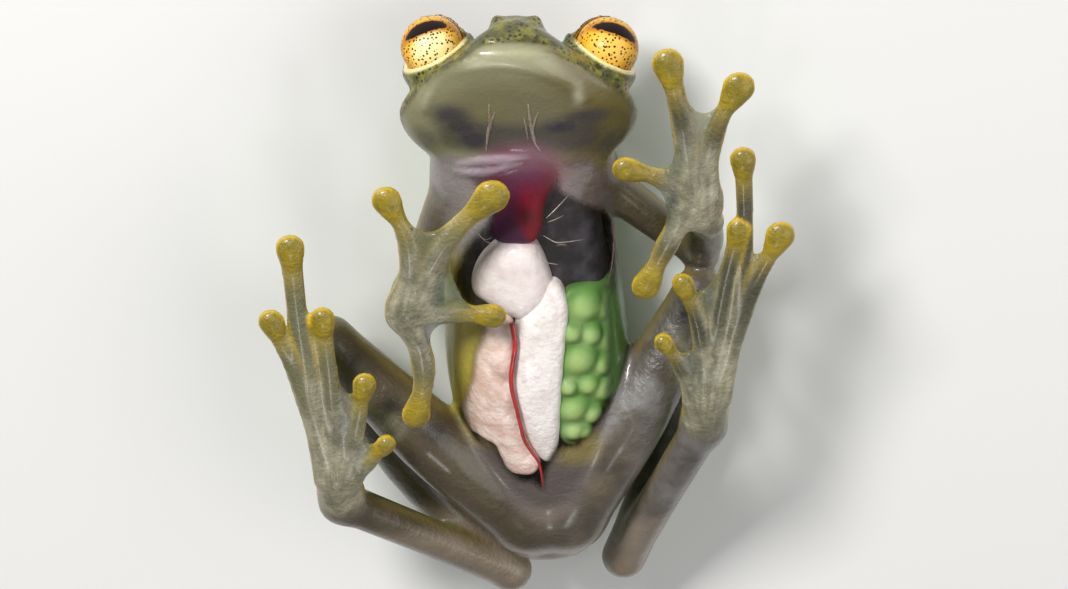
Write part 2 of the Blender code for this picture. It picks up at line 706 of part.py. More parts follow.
def main():
    clear_scene()
    trunk = make_trunk()
    head = make_head()
    head.data.transform(head_matrix())
    eyes = make_eyes()
    for eye in eyes:
        eye.data.transform(head_matrix())
    nodes = [(eye, "eye") for eye in eyes]

    turn = head_matrix()
    mouth = turn @ Vector((0.0, 0.0, MOUTH_HEIGHT))
    below = turn.to_3x3() @ Vector((0.0, 0.0, 1.0))
    jaw = copy_of(head)
    jaw.name = "lower_jaw"
    trim(head, mouth - below * GAP / 2, below)
    trim(jaw, mouth + below * GAP / 2, -below)
    for piece in (head, jaw):
        trim(piece, NECK_PLACE + NECK_NORMAL * GAP / 2, -NECK_NORMAL)
    trim(trunk, NECK_PLACE - NECK_NORMAL * GAP / 2, NECK_NORMAL)
    nodes += [(head, "skin"), (jaw, "skin")]

    for side in SIDES:
        upper, lower = make_arm(side, trunk)
        thigh, shank, tarsus = make_leg(side, trunk)
        cut_by(upper, [head, jaw])
        hand = make_hand(side)
        cut_by(lower, [hand])
        foot = make_foot(side)
        ankle, heel = Vector(LEG[side]["ankle"]), Vector(LEG[side]["heel"])
        mitre(tarsus, foot, ankle, heel, foot_middle(side))
        nodes += [(piece, "limb") for piece in (upper, lower, thigh, shank, tarsus)]
        nodes += [(hand, "hand"), (foot, "hand")]

    organs = make_organs(trunk)
    boolean(trunk, [copy_of(piece, GAP) for piece in organs], "DIFFERENCE")
    trim(trunk, Vector((0.0, 0.0, 0.0)), Vector((0.0, 0.0, -1.0)))
    nodes.append((trunk, "belly"))
    nodes += list(zip(organs, ("heart", "liver", "liver", "gut", "vein", "eggs")))
    finish(new_collection("glass_frog"), nodes)


def foot_middle(side):
    """The middle of the toes' roots"""
    roots = [Vector((*root, SOLE_LEVEL)) for root, _, _, _, _ in TOES[side]]
    return sum(roots, Vector()) / len(roots)


main()
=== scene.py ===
# %% [markdown]
# # A glass frog on its back
#
# The real animal is a small tree frog with clear skin on its belly, so the heart, the white
# liver and gut and the green eggs show through. It was seen from below through a sheet of
# glass. Here it lies on its back with its hands and feet raised to the plane of that glass.
# The rigid frame holds plain solids for each body part. This script lays one smooth skin
# over all of them, puts finer organs and eyes inside, and lights the result.

# %% Tools and frame
import math

import bpy
import numpy as np
from mathutils import Matrix, Vector


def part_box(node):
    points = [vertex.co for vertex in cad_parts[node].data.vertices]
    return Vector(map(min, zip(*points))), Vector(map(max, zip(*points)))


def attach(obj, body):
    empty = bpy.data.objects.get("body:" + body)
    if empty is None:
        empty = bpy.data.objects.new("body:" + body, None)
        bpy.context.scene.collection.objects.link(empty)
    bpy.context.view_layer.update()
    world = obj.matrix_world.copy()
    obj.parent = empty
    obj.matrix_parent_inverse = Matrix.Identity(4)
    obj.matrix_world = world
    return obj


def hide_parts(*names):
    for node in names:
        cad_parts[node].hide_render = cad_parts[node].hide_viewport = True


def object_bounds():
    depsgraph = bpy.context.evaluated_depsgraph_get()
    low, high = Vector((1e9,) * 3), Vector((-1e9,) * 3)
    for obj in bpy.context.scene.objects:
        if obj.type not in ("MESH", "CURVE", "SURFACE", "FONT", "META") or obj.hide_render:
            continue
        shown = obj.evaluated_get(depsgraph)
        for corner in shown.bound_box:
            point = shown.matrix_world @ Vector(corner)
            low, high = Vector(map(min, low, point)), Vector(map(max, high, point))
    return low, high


MM = 0.001
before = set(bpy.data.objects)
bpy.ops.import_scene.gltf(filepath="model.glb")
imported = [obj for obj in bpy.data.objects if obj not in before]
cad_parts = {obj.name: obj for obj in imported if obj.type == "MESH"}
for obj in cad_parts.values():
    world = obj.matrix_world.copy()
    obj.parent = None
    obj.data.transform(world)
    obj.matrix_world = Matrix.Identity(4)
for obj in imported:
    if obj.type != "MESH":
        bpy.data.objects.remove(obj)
cad_low, cad_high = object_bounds()
print("frame box in mm:", [round(value / MM, 2) for value in cad_high - cad_low])

# %% [markdown]
# The head has its own frame: its origin lies midway between the eyes, +Y points to the snout
# and +Z to the throat. All places below are in millimetres, as the frog was measured. One
# shift, read from the box of an eye in the frame, carries them to where the frame has it.

# %% The head's frame and the shift to the frame
HEAD_PLACE = np.array((0.05, 11.44, 4.2))
HEAD_YAW = math.radians(-4.5)
HEAD_PITCH = math.radians(26.0)
HEAD_TURN = np.array(Matrix.Rotation(HEAD_YAW, 3, "Z") @ Matrix.Rotation(HEAD_PITCH, 3, "X"))
EYE_PLACE = np.array((3.5, 0.0, 0.0))
EYE_RADIUS = 1.27
SNOUT_LEAN = 0.14
SIDES = (("right", -1), ("left", 1))


def from_head(points):
    """Places given in the head's frame: x leans with y in front, then turn and move"""
    points = np.array(points, dtype=float)
    points[..., 0] -= SNOUT_LEAN * np.maximum(points[..., 1], 0.0)
    return HEAD_PLACE + points @ HEAD_TURN.T


eye_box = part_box("eye_left")
SHIFT = np.array((eye_box[0] + eye_box[1]) / 2) / MM - from_head(EYE_PLACE)
print("shift in mm:", SHIFT.round(3))

# %% [markdown]
# The camera looked at the frog from a little above the head's side, 29 degrees off the
# straight line to the belly, and the picture leans 3.6 degrees. A long lens from 260 mm away
# gives the flat perspective of a close-up.

# %% Camera
PICTURE = (1068, 589)
MM_PER_PIXEL = 0.041
CAMERA_TILT = math.radians(29.0)
CAMERA_ROLL = math.radians(3.6)
CAMERA_REACH = 260.0
AIM = Vector((0.0, 0.0, 4.0))
SENSOR = 36.0


def make_camera():
    """A camera whose three axes are worked out from the tilt and the roll"""
    back = Vector((0.0, math.sin(CAMERA_TILT), math.cos(CAMERA_TILT)))
    level = Vector((1.0, 0.0, 0.0))
    upright = back.cross(level)
    up = upright * math.cos(CAMERA_ROLL) + level * math.sin(CAMERA_ROLL)
    right = level * math.cos(CAMERA_ROLL) - upright * math.sin(CAMERA_ROLL)
    data = bpy.data.cameras.new("camera")
    data.sensor_width = SENSOR
    data.lens = SENSOR * CAMERA_REACH / (PICTURE[0] * MM_PER_PIXEL)
    data.clip_start, data.clip_end = 0.01, 10.0
    camera = bpy.data.objects.new("camera", data)
    place = Matrix((right, up, back)).transposed().to_4x4()
    place.translation = (AIM + back * CAMERA_REACH + Vector(SHIFT)) * MM
    camera.matrix_world = place
    bpy.context.scene.collection.objects.link(camera)
    bpy.context.scene.camera = camera
    return camera


camera = make_camera()
print("lens:", round(camera.data.lens, 1), "mm")

# %% [markdown]
# ## Shapes as distances
#
# Skin has no seams, and limbs, palms and webs flow into each other. Such a form is easiest
# to describe by distance: every form is a function that says how far a point is from its
# surface, below zero inside. Two forms join softly when the smaller distance is rounded
# where both are close.

# %% Curves through named places


def curve(values, places):
    """Cubic through evenly spaced values: each slope is half the step between neighbours"""
    values = np.asarray(values, dtype=float)
    span = np.clip(places, 0.0, 1.0) * (len(values) - 1)
    index = np.minimum(span.astype(int), len(values) - 2)
    part = (span - index).reshape(-1, *[1] * (values.ndim - 1))
    slopes = np.gradient(values, axis=0)
    start, end = values[index], values[index + 1]
    return (start * (2 * part ** 3 - 3 * part ** 2 + 1) + end * (3 * part ** 2 - 2 * part ** 3)
            + slopes[index] * (part ** 3 - 2 * part ** 2 + part)
            + slopes[index + 1] * (part ** 3 - part ** 2))


def profile(stations, column, place):
    """Cubic through uneven stations: value at a place, with slopes from the neighbours"""
    rows = np.array(sorted(stations))
    known, values = rows[:, 0], rows[:, column]
    slopes = np.gradient(values, known)
    index = np.clip(np.searchsorted(known, place) - 1, 0, len(known) - 2)
    width = known[index + 1] - known[index]
    part = np.clip((place - known[index]) / width, 0.0, 1.0)
    return (values[index] * (2 * part ** 3 - 3 * part ** 2 + 1)
            + values[index + 1] * (3 * part ** 2 - 2 * part ** 3)
            + width * slopes[index] * (part ** 3 - 2 * part ** 2 + part)
            + width * slopes[index + 1] * (part ** 3 - part ** 2))


def ease(value, low, high):
    """0 below low, 1 above high, and a smooth step between"""
    part = np.clip((value - low) / (high - low), 0.0, 1.0)
    return part * part * (3 - 2 * part)


def soft_min(first, second, reach):
    """The smaller of two distances, rounded where they differ by less than the reach"""
    part = np.clip(0.5 + (second - first) * (0.5 / reach), 0.0, 1.0)
    return second + (first - second) * part - reach * part * (1 - part)


# %% Forms: balls, tubes and webs


class Form:
    """A shape as a function of distance, with the box that holds it"""

    def __init__(self, low, high, distance):
        self.low = np.asarray(low, dtype=float)
        self.high = np.asarray(high, dtype=float)
        self.distance = distance


def ball(centre, sizes, turn=None):
    """Stretched ball: with k the length of p / sizes, the distance is k (k - 1) / |p / sizes2|"""
    centre = np.asarray(centre, dtype=float)
    sizes = np.broadcast_to(np.asarray(sizes, dtype=float), (3,))
    turn = np.eye(3) if turn is None else turn
    reach = np.abs(turn) @ sizes if np.ptp(sizes) else sizes

    def distance(point):
        offset = [axis - middle for axis, middle in zip(point, centre)]
        local = [sum(offset[row] * turn[row, column] for row in range(3)) for column in range(3)]
        near = np.sqrt(sum((value / size) ** 2 for value, size in zip(local, sizes)))
        slope = np.sqrt(sum((value / size ** 2) ** 2 for value, size in zip(local, sizes)))
        return near * (near - 1.0) / np.maximum(slope, 1e-6)

    return Form(centre - reach, centre + reach, distance)


def tube(route, radii, flat=1.0, parts=10):
    """Round cones along a smooth route: distance to the nearest one's axis less its radius"""
    places = np.linspace(0.0, 1.0, parts + 1)
    line, size = curve(route, places), curve(radii, places)

    def distance(point):
        nearest = None
        for start, end, wide, narrow in zip(line, line[1:], size, size[1:]):
            span = end - start
            offset = [axis - value for axis, value in zip(point, start)]
            along = sum(value * step for value, step in zip(offset, span)) / (span @ span)
            along = np.clip(along, 0.0, 1.0)
            across = (offset[0] - along * span[0]) ** 2 + (offset[1] - along * span[1]) ** 2
            across = np.sqrt(across + ((offset[2] - along * span[2]) / flat) ** 2)
            here = across - (wide + (narrow - wide) * along)
            nearest = here if nearest is None else np.minimum(nearest, here)
        return nearest

    margin = size.max()
    return Form(line.min(axis=0) - margin, line.max(axis=0) + margin, distance)


def outline_distance(x, y, corners):
    """Distance in the plane to a closed outline of straight edges, below zero inside"""
    nearest, inside = np.inf, False
    for start, end in zip(corners, np.roll(corners, -1, axis=0)):
        step_x, step_y = end - start
        off_x, off_y = x - start[0], y - start[1]
        part = np.clip((off_x * step_x + off_y * step_y) / (step_x ** 2 + step_y ** 2), 0.0, 1.0)
        nearest = np.minimum(nearest, (off_x - part * step_x) ** 2 + (off_y - part * step_y) ** 2)
        level = (start[1] <= y) != (end[1] <= y)
        turn = step_x * off_y - step_y * off_x > 0
        inside = inside ^ (level & (turn == (step_y > 0)))
    return np.sqrt(nearest) * np.where(inside, -1.0, 1.0)


def web(first, second, reaches, level, thickness, hollow=0.12, parts=8):
    """A level plate between two digits whose free edge is drawn in, as skin between them is"""
    places = np.linspace(0.0, 1.0, parts + 1)
    one, two = curve(first, places * reaches[0]), curve(second, places * reaches[1])
    edge = []
    for part in np.linspace(0.15, 0.85, 7):
        reach = (reaches[0] + (reaches[1] - reaches[0]) * part) * (1 - hollow * 4 * part * (1 - part))
        start, end = curve(first, np.array([reach]))[0], curve(second, np.array([reach]))[0]
        edge.append(start + (end - start) * part)
    corners = np.vstack([one, edge, two[::-1]])[:, :2]
    half = thickness / 2

    def distance(point):
        plan = outline_distance(point[0], point[1], corners)
        rise = np.abs(point[2] - level) - half
        return -soft_min(-plan, -rise, half)

    low = np.append(corners.min(axis=0), level - half)
    high = np.append(corners.max(axis=0), level + half)
    return Form(low, high, distance)


# %% [markdown]
# The forms are added to a block of clay: a grid of distances. The surface is then read off
# with surface nets. Each cell that the surface crosses gets one point, the mean of the
# crossings on its edges, and each crossed grid edge gets one four-sided face.

# %% Clay and its surface
FAR = 9.0


class Clay:
    """Distances on a grid, to which forms are added and from which they are carved"""

    def __init__(self, low, high, cell):
        self.cell = cell
        self.axes = [np.arange(start, end + cell, cell, dtype=np.float32)
                     for start, end in zip(low, high)]
        self.field = np.full([len(axis) for axis in self.axes], FAR, dtype=np.float32)

    def region(self, form, margin):
        """The slices of the grid that hold a form and a margin round it"""
        return tuple(slice(*np.searchsorted(axis, (start - margin, end + margin)))
                     for axis, start, end in zip(self.axes, form.low, form.high))

    def points(self, region):
        """The coordinates of a region, shaped so that numpy spreads them over the grid"""
        return [axis[part].reshape([-1 if other == number else 1 for other in range(3)])
                for number, (axis, part) in enumerate(zip(self.axes, region))]

    def add(self, *forms, blend=0.2):
        """Join forms to the clay with a soft fillet"""
        for form in forms:
            region = self.region(form, blend + 3 * self.cell)
            distance = form.distance(self.points(region))
            self.field[region] = soft_min(self.field[region], distance, blend)
        return self

    def carve(self, *forms, blend=0.1):
        """Take forms out of the clay with a soft rim"""
        for form in forms:
            region = self.region(form, blend + 3 * self.cell)
            distance = form.distance(self.points(region))
            self.field[region] = -soft_min(-self.field[region], distance, blend)
        return self

    def merge(self, other, blend):
        """Join another block of the same grid"""
        self.field = soft_min(self.field, other.field, blend)
        return self

    def skin(self):
        """Surface nets: points, and faces that all point out"""
        field = self.field
        inside = field < 0
        size = np.array(field.shape) - 1
        corners = [np.array(corner) for corner in np.ndindex(2, 2, 2)]

        def part(array, corner):
            return array[tuple(slice(start, start + length)
                               for start, length in zip(corner, size))]

        count = sum(part(inside, corner).astype(np.int8) for corner in corners)
        active = (count > 0) & (count < 8)
        cells = np.argwhere(active)
        numbers = np.full(active.shape, -1, dtype=np.int32)
        numbers[active] = np.arange(len(cells))
        total = np.zeros((len(cells), 3))
        hits = np.zeros((len(cells), 1))
        for start in corners:
            for axis in range(3):
                if start[axis]:
                    continue
                end = start + np.eye(3, dtype=int)[axis]
                first = field[tuple((cells + start).T)].astype(float)
                second = field[tuple((cells + end).T)].astype(float)
                crossed = (first < 0) != (second < 0)
                share = np.where(crossed, first / np.where(crossed, first - second, 1.0), 0.0)
                total += np.where(crossed[:, None], start + share[:, None] * (end - start), 0.0)
                hits += crossed[:, None]
        origin = np.array([axis[0] for axis in self.axes])
        points = origin + (cells + total / hits) * self.cell
        faces = []
        for axis in range(3):
            beside, above = (axis + 1) % 3, (axis + 2) % 3
            ahead = np.eye(3, dtype=int)[axis]
            grid = np.argwhere(part(inside, (0, 0, 0)) != part(inside, ahead))
            grid = grid[(grid[:, beside] > 0) & (grid[:, above] > 0)]
            out = inside[tuple(grid.T)]
            ring = []
            for back_beside, back_above in ((1, 1), (0, 1), (0, 0), (1, 0)):
                place = grid.copy()
                place[:, beside] -= back_beside
                place[:, above] -= back_above
                ring.append(numbers[tuple(place.T)])
            ring = np.stack(ring, axis=1)
            faces.append(np.where(out[:, None], ring, ring[:, ::-1]))
        return points, np.concatenate(faces)


# %% Meshes from arrays


def make_piece(name, points, faces):
    """A mesh object from places in millimetres, moved to the frame and turned into metres"""
    mesh = bpy.data.meshes.new(name)
    faces = np.asarray(faces)
    mesh.vertices.add(len(points))
    mesh.vertices.foreach_set("co", ((np.asarray(points) + SHIFT) * MM).ravel())
    mesh.loops.add(faces.size)
    mesh.loops.foreach_set("vertex_index", faces.ravel())
    mesh.polygons.add(len(faces))
    mesh.polygons.foreach_set("loop_start", np.arange(0, faces.size, faces.shape[1]))
    mesh.update(calc_edges=True)
    mesh.shade_smooth()
    piece = bpy.data.objects.new(name, mesh)
    bpy.context.scene.collection.objects.link(piece)
    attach(piece, "root")
    return piece


def refine(piece, rounds, triangles=None):
    """Smooth a piece, thin it to a number of triangles and keep the result as its mesh"""
    smooth = piece.modifiers.new("smooth", "SMOOTH")
    smooth.factor, smooth.iterations = 0.5, rounds
    if triangles and triangles < 2 * len(piece.data.polygons):
        thin = piece.modifiers.new("thin", "DECIMATE")
        thin.ratio = triangles / (2 * len(piece.data.polygons))
    depsgraph = bpy.context.evaluated_depsgraph_get()
    mesh = bpy.data.meshes.new_from_object(piece.evaluated_get(depsgraph))
    piece.modifiers.clear()
    piece.data = mesh
    mesh.shade_smooth()
    return piece


def places_of(piece):
    """The points of a piece as three arrays, back in the measured millimetres"""
    flat = np.empty(3 * len(piece.data.vertices))
    piece.data.vertices.foreach_get("co", flat)
    return list((flat.reshape(-1, 3) / MM - SHIFT).T)


def normals_of(piece):
    """The outward directions at the points of a piece"""
    flat = np.empty(3 * len(piece.data.vertices))
    piece.data.vertices.foreach_get("normal", flat)
    return flat.reshape(-1, 3).T


def mark(piece, name, values):
    """Store one number for each point, for the materials to read"""
    attribute = piece.data.attributes.new(name, "FLOAT", "POINT")
    attribute.data.foreach_set("value", np.ascontiguousarray(values, dtype=np.float32))


# %% [markdown]
# ## The body
#
# The trunk is a row of rounded sections from the chest to the rump, wide and heavy with
# eggs. Each section is a superellipse, a little squarer than an ellipse, because the back
# lies flat on the floor and the belly is taut.

# %% Trunk
TRUNK = (
    (7.9, 2.75, 0.95, 5.1),
    (6.2, 3.05, 0.65, 5.7),
    (4.4, 3.2, 0.3, 6.1),
    (2.0, 3.45, 0.0, 6.5),
    (-0.8, 3.72, -0.12, 6.85),
    (-3.6, 3.75, -0.12, 6.85),
    (-6.2, 3.4, -0.06, 6.5),
    (-8.6, 2.8, 0.3, 5.9),
    (-10.6, 2.3, 1.0, 5.2),
    (-11.9, 1.85, 1.8, 4.7),
)
TRUNK_POWER = 2.3
RUMP_CAP = 0.9


def trunk_distance(point):
    """Superellipse |x/w|^n + |z/h|^n + |over/cap|^n, its root less one, scaled to length"""
    x, y, z = point
    wide, back, belly = (profile(TRUNK, column, y) for column in (1, 2, 3))
    middle, half = (belly + back) / 2, (belly - back) / 2
    over = np.maximum(TRUNK[-1][0] - y, 0.0) / RUMP_CAP + np.maximum(y - TRUNK[0][0], 0.0)
    total = np.abs(x / wide) ** TRUNK_POWER + np.abs((z - middle) / half) ** TRUNK_POWER
    return ((total + over ** TRUNK_POWER) ** (1 / TRUNK_POWER) - 1) * np.minimum(wide, half)


def belly_height(x, y):
    """Height of the belly skin over a place"""
    wide, back, belly = (profile(TRUNK, column, np.asarray(y, dtype=float))
                         for column in (1, 2, 3))
    side = np.minimum(np.abs(x) / wide, 0.98) ** TRUNK_POWER
    return (back + belly) / 2 + (belly - back) / 2 * (1 - side) ** (1 / TRUNK_POWER)


trunk = Form((-3.8, -12.8, -0.15), (3.8, 8.8, 6.9), trunk_distance)

# %% [markdown]
# The head is wider than long, flat on its crown and rounded on its throat. Its widest line
# is the lip. The snout is short and cut off square, with a nostril on each corner.

# %% Head
HEAD = (
    (1.95, 1.7, 0.05, 2.1, 1.6),
    (1.45, 2.45, -0.4, 2.35, 1.3),
    (0.7, 3.25, -0.75, 2.55, 1.2),
    (-0.5, 4.25, -0.95, 2.7, 1.3),
    (-2.2, 4.8, -1.1, 2.85, 1.35),
    (-3.5, 4.4, -1.2, 3.05, 1.35),
    (-4.5, 3.6, -1.35, 3.25, 1.4),
    (-5.5, 3.1, -1.5, 3.4, 1.5),
    (-6.6, 2.95, -1.6, 3.4, 1.6),
)
THROAT_POWER = 2.1
LIP_HEIGHT = 1.7
MOUTH_HEIGHT = 1.38
SNOUT_CAP = 0.35


def to_head(point):
    """A point's three coordinates in the head's own frame"""
    offset = [axis - value for axis, value in zip(point, HEAD_PLACE)]
    x, y, z = (sum(offset[row] * HEAD_TURN[row, column] for row in range(3))
               for column in range(3))
    return x + SNOUT_LEAN * np.maximum(y, 0.0), y, z


def skull_distance(point):
    """A superellipse with one power above the lip and another below, over its own slope"""
    x, y, z = to_head(point)
    wide, crown, throat, roof = (profile(HEAD, column, y) for column in (1, 2, 3, 4))
    rise = z - LIP_HEIGHT
    power = np.where(rise > 0, THROAT_POWER, roof)
    half = np.where(rise > 0, throat - LIP_HEIGHT, LIP_HEIGHT - crown)
    over = np.maximum(y - HEAD[0][0], 0.0) / SNOUT_CAP + np.maximum(HEAD[-1][0] - y, 0.0)
    across, up = np.abs(x / wide), np.abs(rise / half)
    size = (across ** power + up ** power + over ** power) ** (1 / power)
    slope = np.hypot(across ** (power - 1) / wide, up ** (power - 1) / half)
    slope = slope * np.maximum(size, 0.05) ** (1 - power)
    return (size - 1) / np.clip(slope, 0.2, 3.0)


corners = from_head([(x, y, z) for x in (-5, 5) for y in (-7.5, 2.6) for z in (-1.9, 3.7)])
skull = Form(corners.min(axis=0), corners.max(axis=0), skull_distance)

ORBIT_RADIUS = 1.55
ORBIT_SHIFT = np.array((-0.25, -0.5, 0.35))
# The fold between the eye and the snout, the bar of the snout's top and the nostrils
CANTHUS_PLACE = np.array((2.3, 0.3, -0.1))
CANTHUS_RADIUS = 0.5
SNOUT_BAR = np.array((0.6, 1.12, -0.12))
SNOUT_RADIUS = 0.46
NOSTRIL_PLACE = np.array((0.78, 1.38, -0.34))
NOSTRIL_RADIUS = 0.2
NOSTRIL_PIT = np.array((1.0, 1.62, -0.5))
# The oval inside the jaw: its centre and half sizes
JAW_OVAL = ((-0.55, -1.2), (3.3, 3.0))


def lip_route(height, share, stations=6):
    """A line round the mouth, a share of the head's half width out"""
    left = [(share * row[1], row[0], height) for row in HEAD[:stations]]
    return np.array([(-x, y, z) for x, y, z in left[::-1]] + [(0, HEAD[0][0] + 0.3, height)] + left)


def throat_height(x, y):
    """Height of the throat's skin in the head's frame, by the superellipse of its section"""
    wide, throat = profile(HEAD, 1, y), profile(HEAD, 3, y)
    side = np.minimum(np.abs(x) / wide, 0.98) ** THROAT_POWER
    return LIP_HEIGHT + (throat - LIP_HEIGHT) * (1 - side) ** (1 / THROAT_POWER)


def jaw_line(start, end, count, sink):
    """An arc of the oval inside the jaw, from one angle to another, a sink below the throat"""
    angle = np.radians(np.linspace(start, end, count))
    (middle_x, middle_y), (half_x, half_y) = JAW_OVAL
    x, y = middle_x + half_x * np.cos(angle), middle_y + half_y * np.sin(angle)
    return np.column_stack([x, y, throat_height(x, y) - sink])


mouth = tube(from_head(lip_route(MOUTH_HEIGHT, 0.96)), [0.06] * 13, parts=36)
jaw_ridge = tube(from_head(jaw_line(178, 22, 13, 0.1)), [0.05] + [0.13] * 11 + [0.05], parts=30)
snout_bar = tube(from_head([SNOUT_BAR * (-1, 1, 1), SNOUT_BAR]), [SNOUT_RADIUS] * 2, parts=2)
# Two folds of skin across the chest, where the throat ends
CHEST_FOLDS = (
    ((-2.7, 6.95, 5.15), (-1.91, 7.14, 5.42), (-1.22, 7.2, 5.55), (-0.7, 7.24, 5.6), (0.1, 7.26, 5.58)),
    ((-2.8, 6.6, 5.1), (-2.14, 6.57, 5.34), (-1.62, 6.65, 5.48), (-1.04, 6.84, 5.58), (-0.2, 7.0, 5.6)),
)
chest_folds = [tube(line, (0.08, 0.17, 0.17, 0.15, 0.06), parts=12) for line in CHEST_FOLDS]

# %% [markdown]
# Lids: a fold of skin follows the eyeball and ends in a clean edge. The opening between the
# lids is what is left of the ball above three planes: the lower lid, the inner corner and
# the upper lid at the back. Where two planes meet, the corner of the eye is rounded.

# %% Eyes and lids as forms
# Each lid: the direction that its plane faces, and the plane's height as a share of the radius
LIDS = (
    ((0.477, 0.691, -0.543), -0.23),
    ((0.9, 0.21, -0.37), -0.86),
    ((0.25, 0.75, 0.6), -0.35),
)
LID_THICKNESS = 0.17
LID_CORNER = 0.25


def mirrored(vector, sign):
    """A place or direction given for the left side, on either side"""
    return np.array((vector[0] * sign, vector[1], vector[2]))


def opening_height(offset, sign):
    """How far a point, taken from the eye's centre, lies above the nearest lid plane"""
    height = None
    for axis, level in LIDS:
        axis = HEAD_TURN @ mirrored(axis, sign) / np.linalg.norm(axis)
        above = sum(value * part for value, part in zip(offset, axis)) - level * EYE_RADIUS
        height = above if height is None else soft_min(height, above, LID_CORNER)
    return height


def lid_forms(sign):
    """The skin that wraps the eyeball behind the lids, and the opening to carve"""
    centre = from_head(mirrored(EYE_PLACE, sign))
    outer, clear = EYE_RADIUS + LID_THICKNESS, EYE_RADIUS + 0.7

    def shell(radius, turned):
        def distance(point):
            offset = [value - middle for value, middle in zip(point, centre)]
            away = np.sqrt(sum(value ** 2 for value in offset)) - radius
            return -soft_min(-away, turned * opening_height(offset, sign), 0.1)

        return Form(centre - radius, centre + radius, distance)

    return shell(outer, -1), shell(clear, 1)


def lid_edge(sign, radius, count=96):
    """A closed line on the ball where the opening ends, found along rays from its middle"""
    middle = HEAD_TURN @ mirrored((0.45, 0.8, -0.4), sign)
    middle /= np.linalg.norm(middle)
    across = np.cross(middle, (0.0, 0.0, 1.0))
    across /= np.linalg.norm(across)
    beside = np.cross(middle, across)
    angle = np.linspace(0.0, 2 * math.pi, count, endpoint=False)[:, None]
    tilt = np.linspace(0.2, 2.6, 600)[None, :]
    out = [across[row] * np.cos(angle) + beside[row] * np.sin(angle) for row in range(3)]
    ray = [radius * (middle[row] * np.cos(tilt) + out[row] * np.sin(tilt)) for row in range(3)]
    last = np.argmax(opening_height(ray, sign) < 0, axis=1)
    line = np.stack([axis[np.arange(count), last] for axis in ray], axis=1)
    for _ in range(3):
        line = (np.roll(line, 1, axis=0) + 2 * line + np.roll(line, -1, axis=0)) / 4
    return from_head(mirrored(EYE_PLACE, sign)) + line


# %% [markdown]
# ## Limbs
#
# Each limb is a chain of tapered tubes from joint to joint. Thigh and shank lie folded
# against each other. Hands and feet are level, as the glass pressed them: long digits with
# round pads, joined by webs.

# %% Limb joints
SOLE_LEVEL = 7.45
ARM = {
    "right": {"shoulder": (-2.5, 5.7, 3.7), "elbow": (-4.7, 0.35, 2.3),
              "wrist": (-5.4, 1.05, 6.75)},
    "left": {"shoulder": (2.4, 5.6, 3.7), "elbow": (6.95, 0.75, 2.7),
             "wrist": (7.15, 4.4, 6.75)},
}
LEG = {
    "right": {"hip": (-0.9, -10.3, 4.2), "knee": (-8.5, -1.75, 3.7),
              "heel": (-1.75, -14.0, 2.5), "ankle": (-8.4, -7.9, 6.35)},
    "left": {"hip": (0.9, -10.3, 4.2), "knee": (6.75, -0.55, 3.7),
             "heel": (3.1, -13.7, 2.5), "ankle": (6.6, -5.35, 6.35)},
}
UPPER_ARM = {"right": (1.15, 0.95, 0.7), "left": (0.95, 0.8, 0.7)}
PALM = {"right": ((-5.15, 1.5), (0.92, 1.1)), "left": ((6.75, 5.6), (1.1, 1.3))}
# Each digit: root, tip, sideways bow, radius, radius of the pad
FINGERS = {
    "right": (
        ((-5.17, 1.1), (-5.11, -3.35), -0.42, 0.48, 0.6),
        ((-4.89, 1.4), (-1.67, 1.04), -0.06, 0.44, 0.53),
        ((-4.75, 1.95), (-1.43, 6.53), -0.38, 0.5, 0.74),
        ((-5.38, 1.9), (-5.67, 6.65), 0.54, 0.42, 0.62),
    ),
    "left": (
        ((6.45, 5.6), (4.53, 1.98), 0.03, 0.46, 0.62),
        ((6.5, 5.95), (3.94, 7.37), 0.19, 0.4, 0.55),
        ((6.6, 6.1), (5.86, 11.99), 0.11, 0.48, 0.66),
        ((7.2, 5.95), (8.64, 10.73), -0.37, 0.42, 0.67),
    ),
}
TOES = {
    "right": (
        ((-7.94, -6.4), (-6.4, -4.61), 0.0, 0.34, 0.4),
        ((-8.3, -6.25), (-7.1, -1.73), 0.08, 0.37, 0.5),
        ((-8.6, -6.2), (-8.6, 1.41), 0.1, 0.4, 0.52),
        ((-8.74, -6.2), (-9.66, 4.75), -0.22, 0.49, 0.6),
        ((-8.95, -6.25), (-10.69, 1.45), 0.23, 0.4, 0.53),
    ),
    "left": (
        ((6.19, -3.75), (5.1, -0.63), 0.17, 0.33, 0.37),
        ((6.49, -3.6), (6.02, 2.01), 0.35, 0.36, 0.45),
        ((6.81, -3.6), (8.34, 4.35), -0.1, 0.37, 0.44),
        ((7.1, -3.6), (8.68, 7.5), 0.45, 0.41, 0.54),
        ((7.3, -3.6), (10.05, 3.93), -0.28, 0.39, 0.62),
    ),
}
# Each web: its two digits and how far along each it reaches
FINGER_WEBS = {"right": ((0, 1, 0.35, 0.45), (1, 2, 0.72, 0.52), (2, 3, 0.72, 0.76)),
               "left": ((0, 1, 0.45, 0.55), (1, 2, 0.5, 0.5), (2, 3, 0.74, 0.8))}
TOE_WEBS = {"right": ((0, 1, 0.8, 0.5), (1, 2, 0.86, 0.66), (2, 3, 0.95, 0.72), (3, 4, 0.72, 0.97)),
            "left": ((0, 1, 0.75, 0.46), (1, 2, 0.9, 0.9), (2, 3, 0.97, 0.74), (3, 4, 0.7, 0.9))}
WEB_THICKNESS = 0.3
PAD_HALF = 0.33

# %% Limbs as forms


def arm_forms(side):
    """Upper arm and forearm"""
    shoulder, elbow, wrist = (np.array(ARM[side][key]) for key in ("shoulder", "elbow", "wrist"))
    return (tube([shoulder, (shoulder + elbow) / 2, elbow], UPPER_ARM[side]),
            tube([elbow, (elbow + wrist) / 2, wrist], (0.72, 0.82, 0.52)))


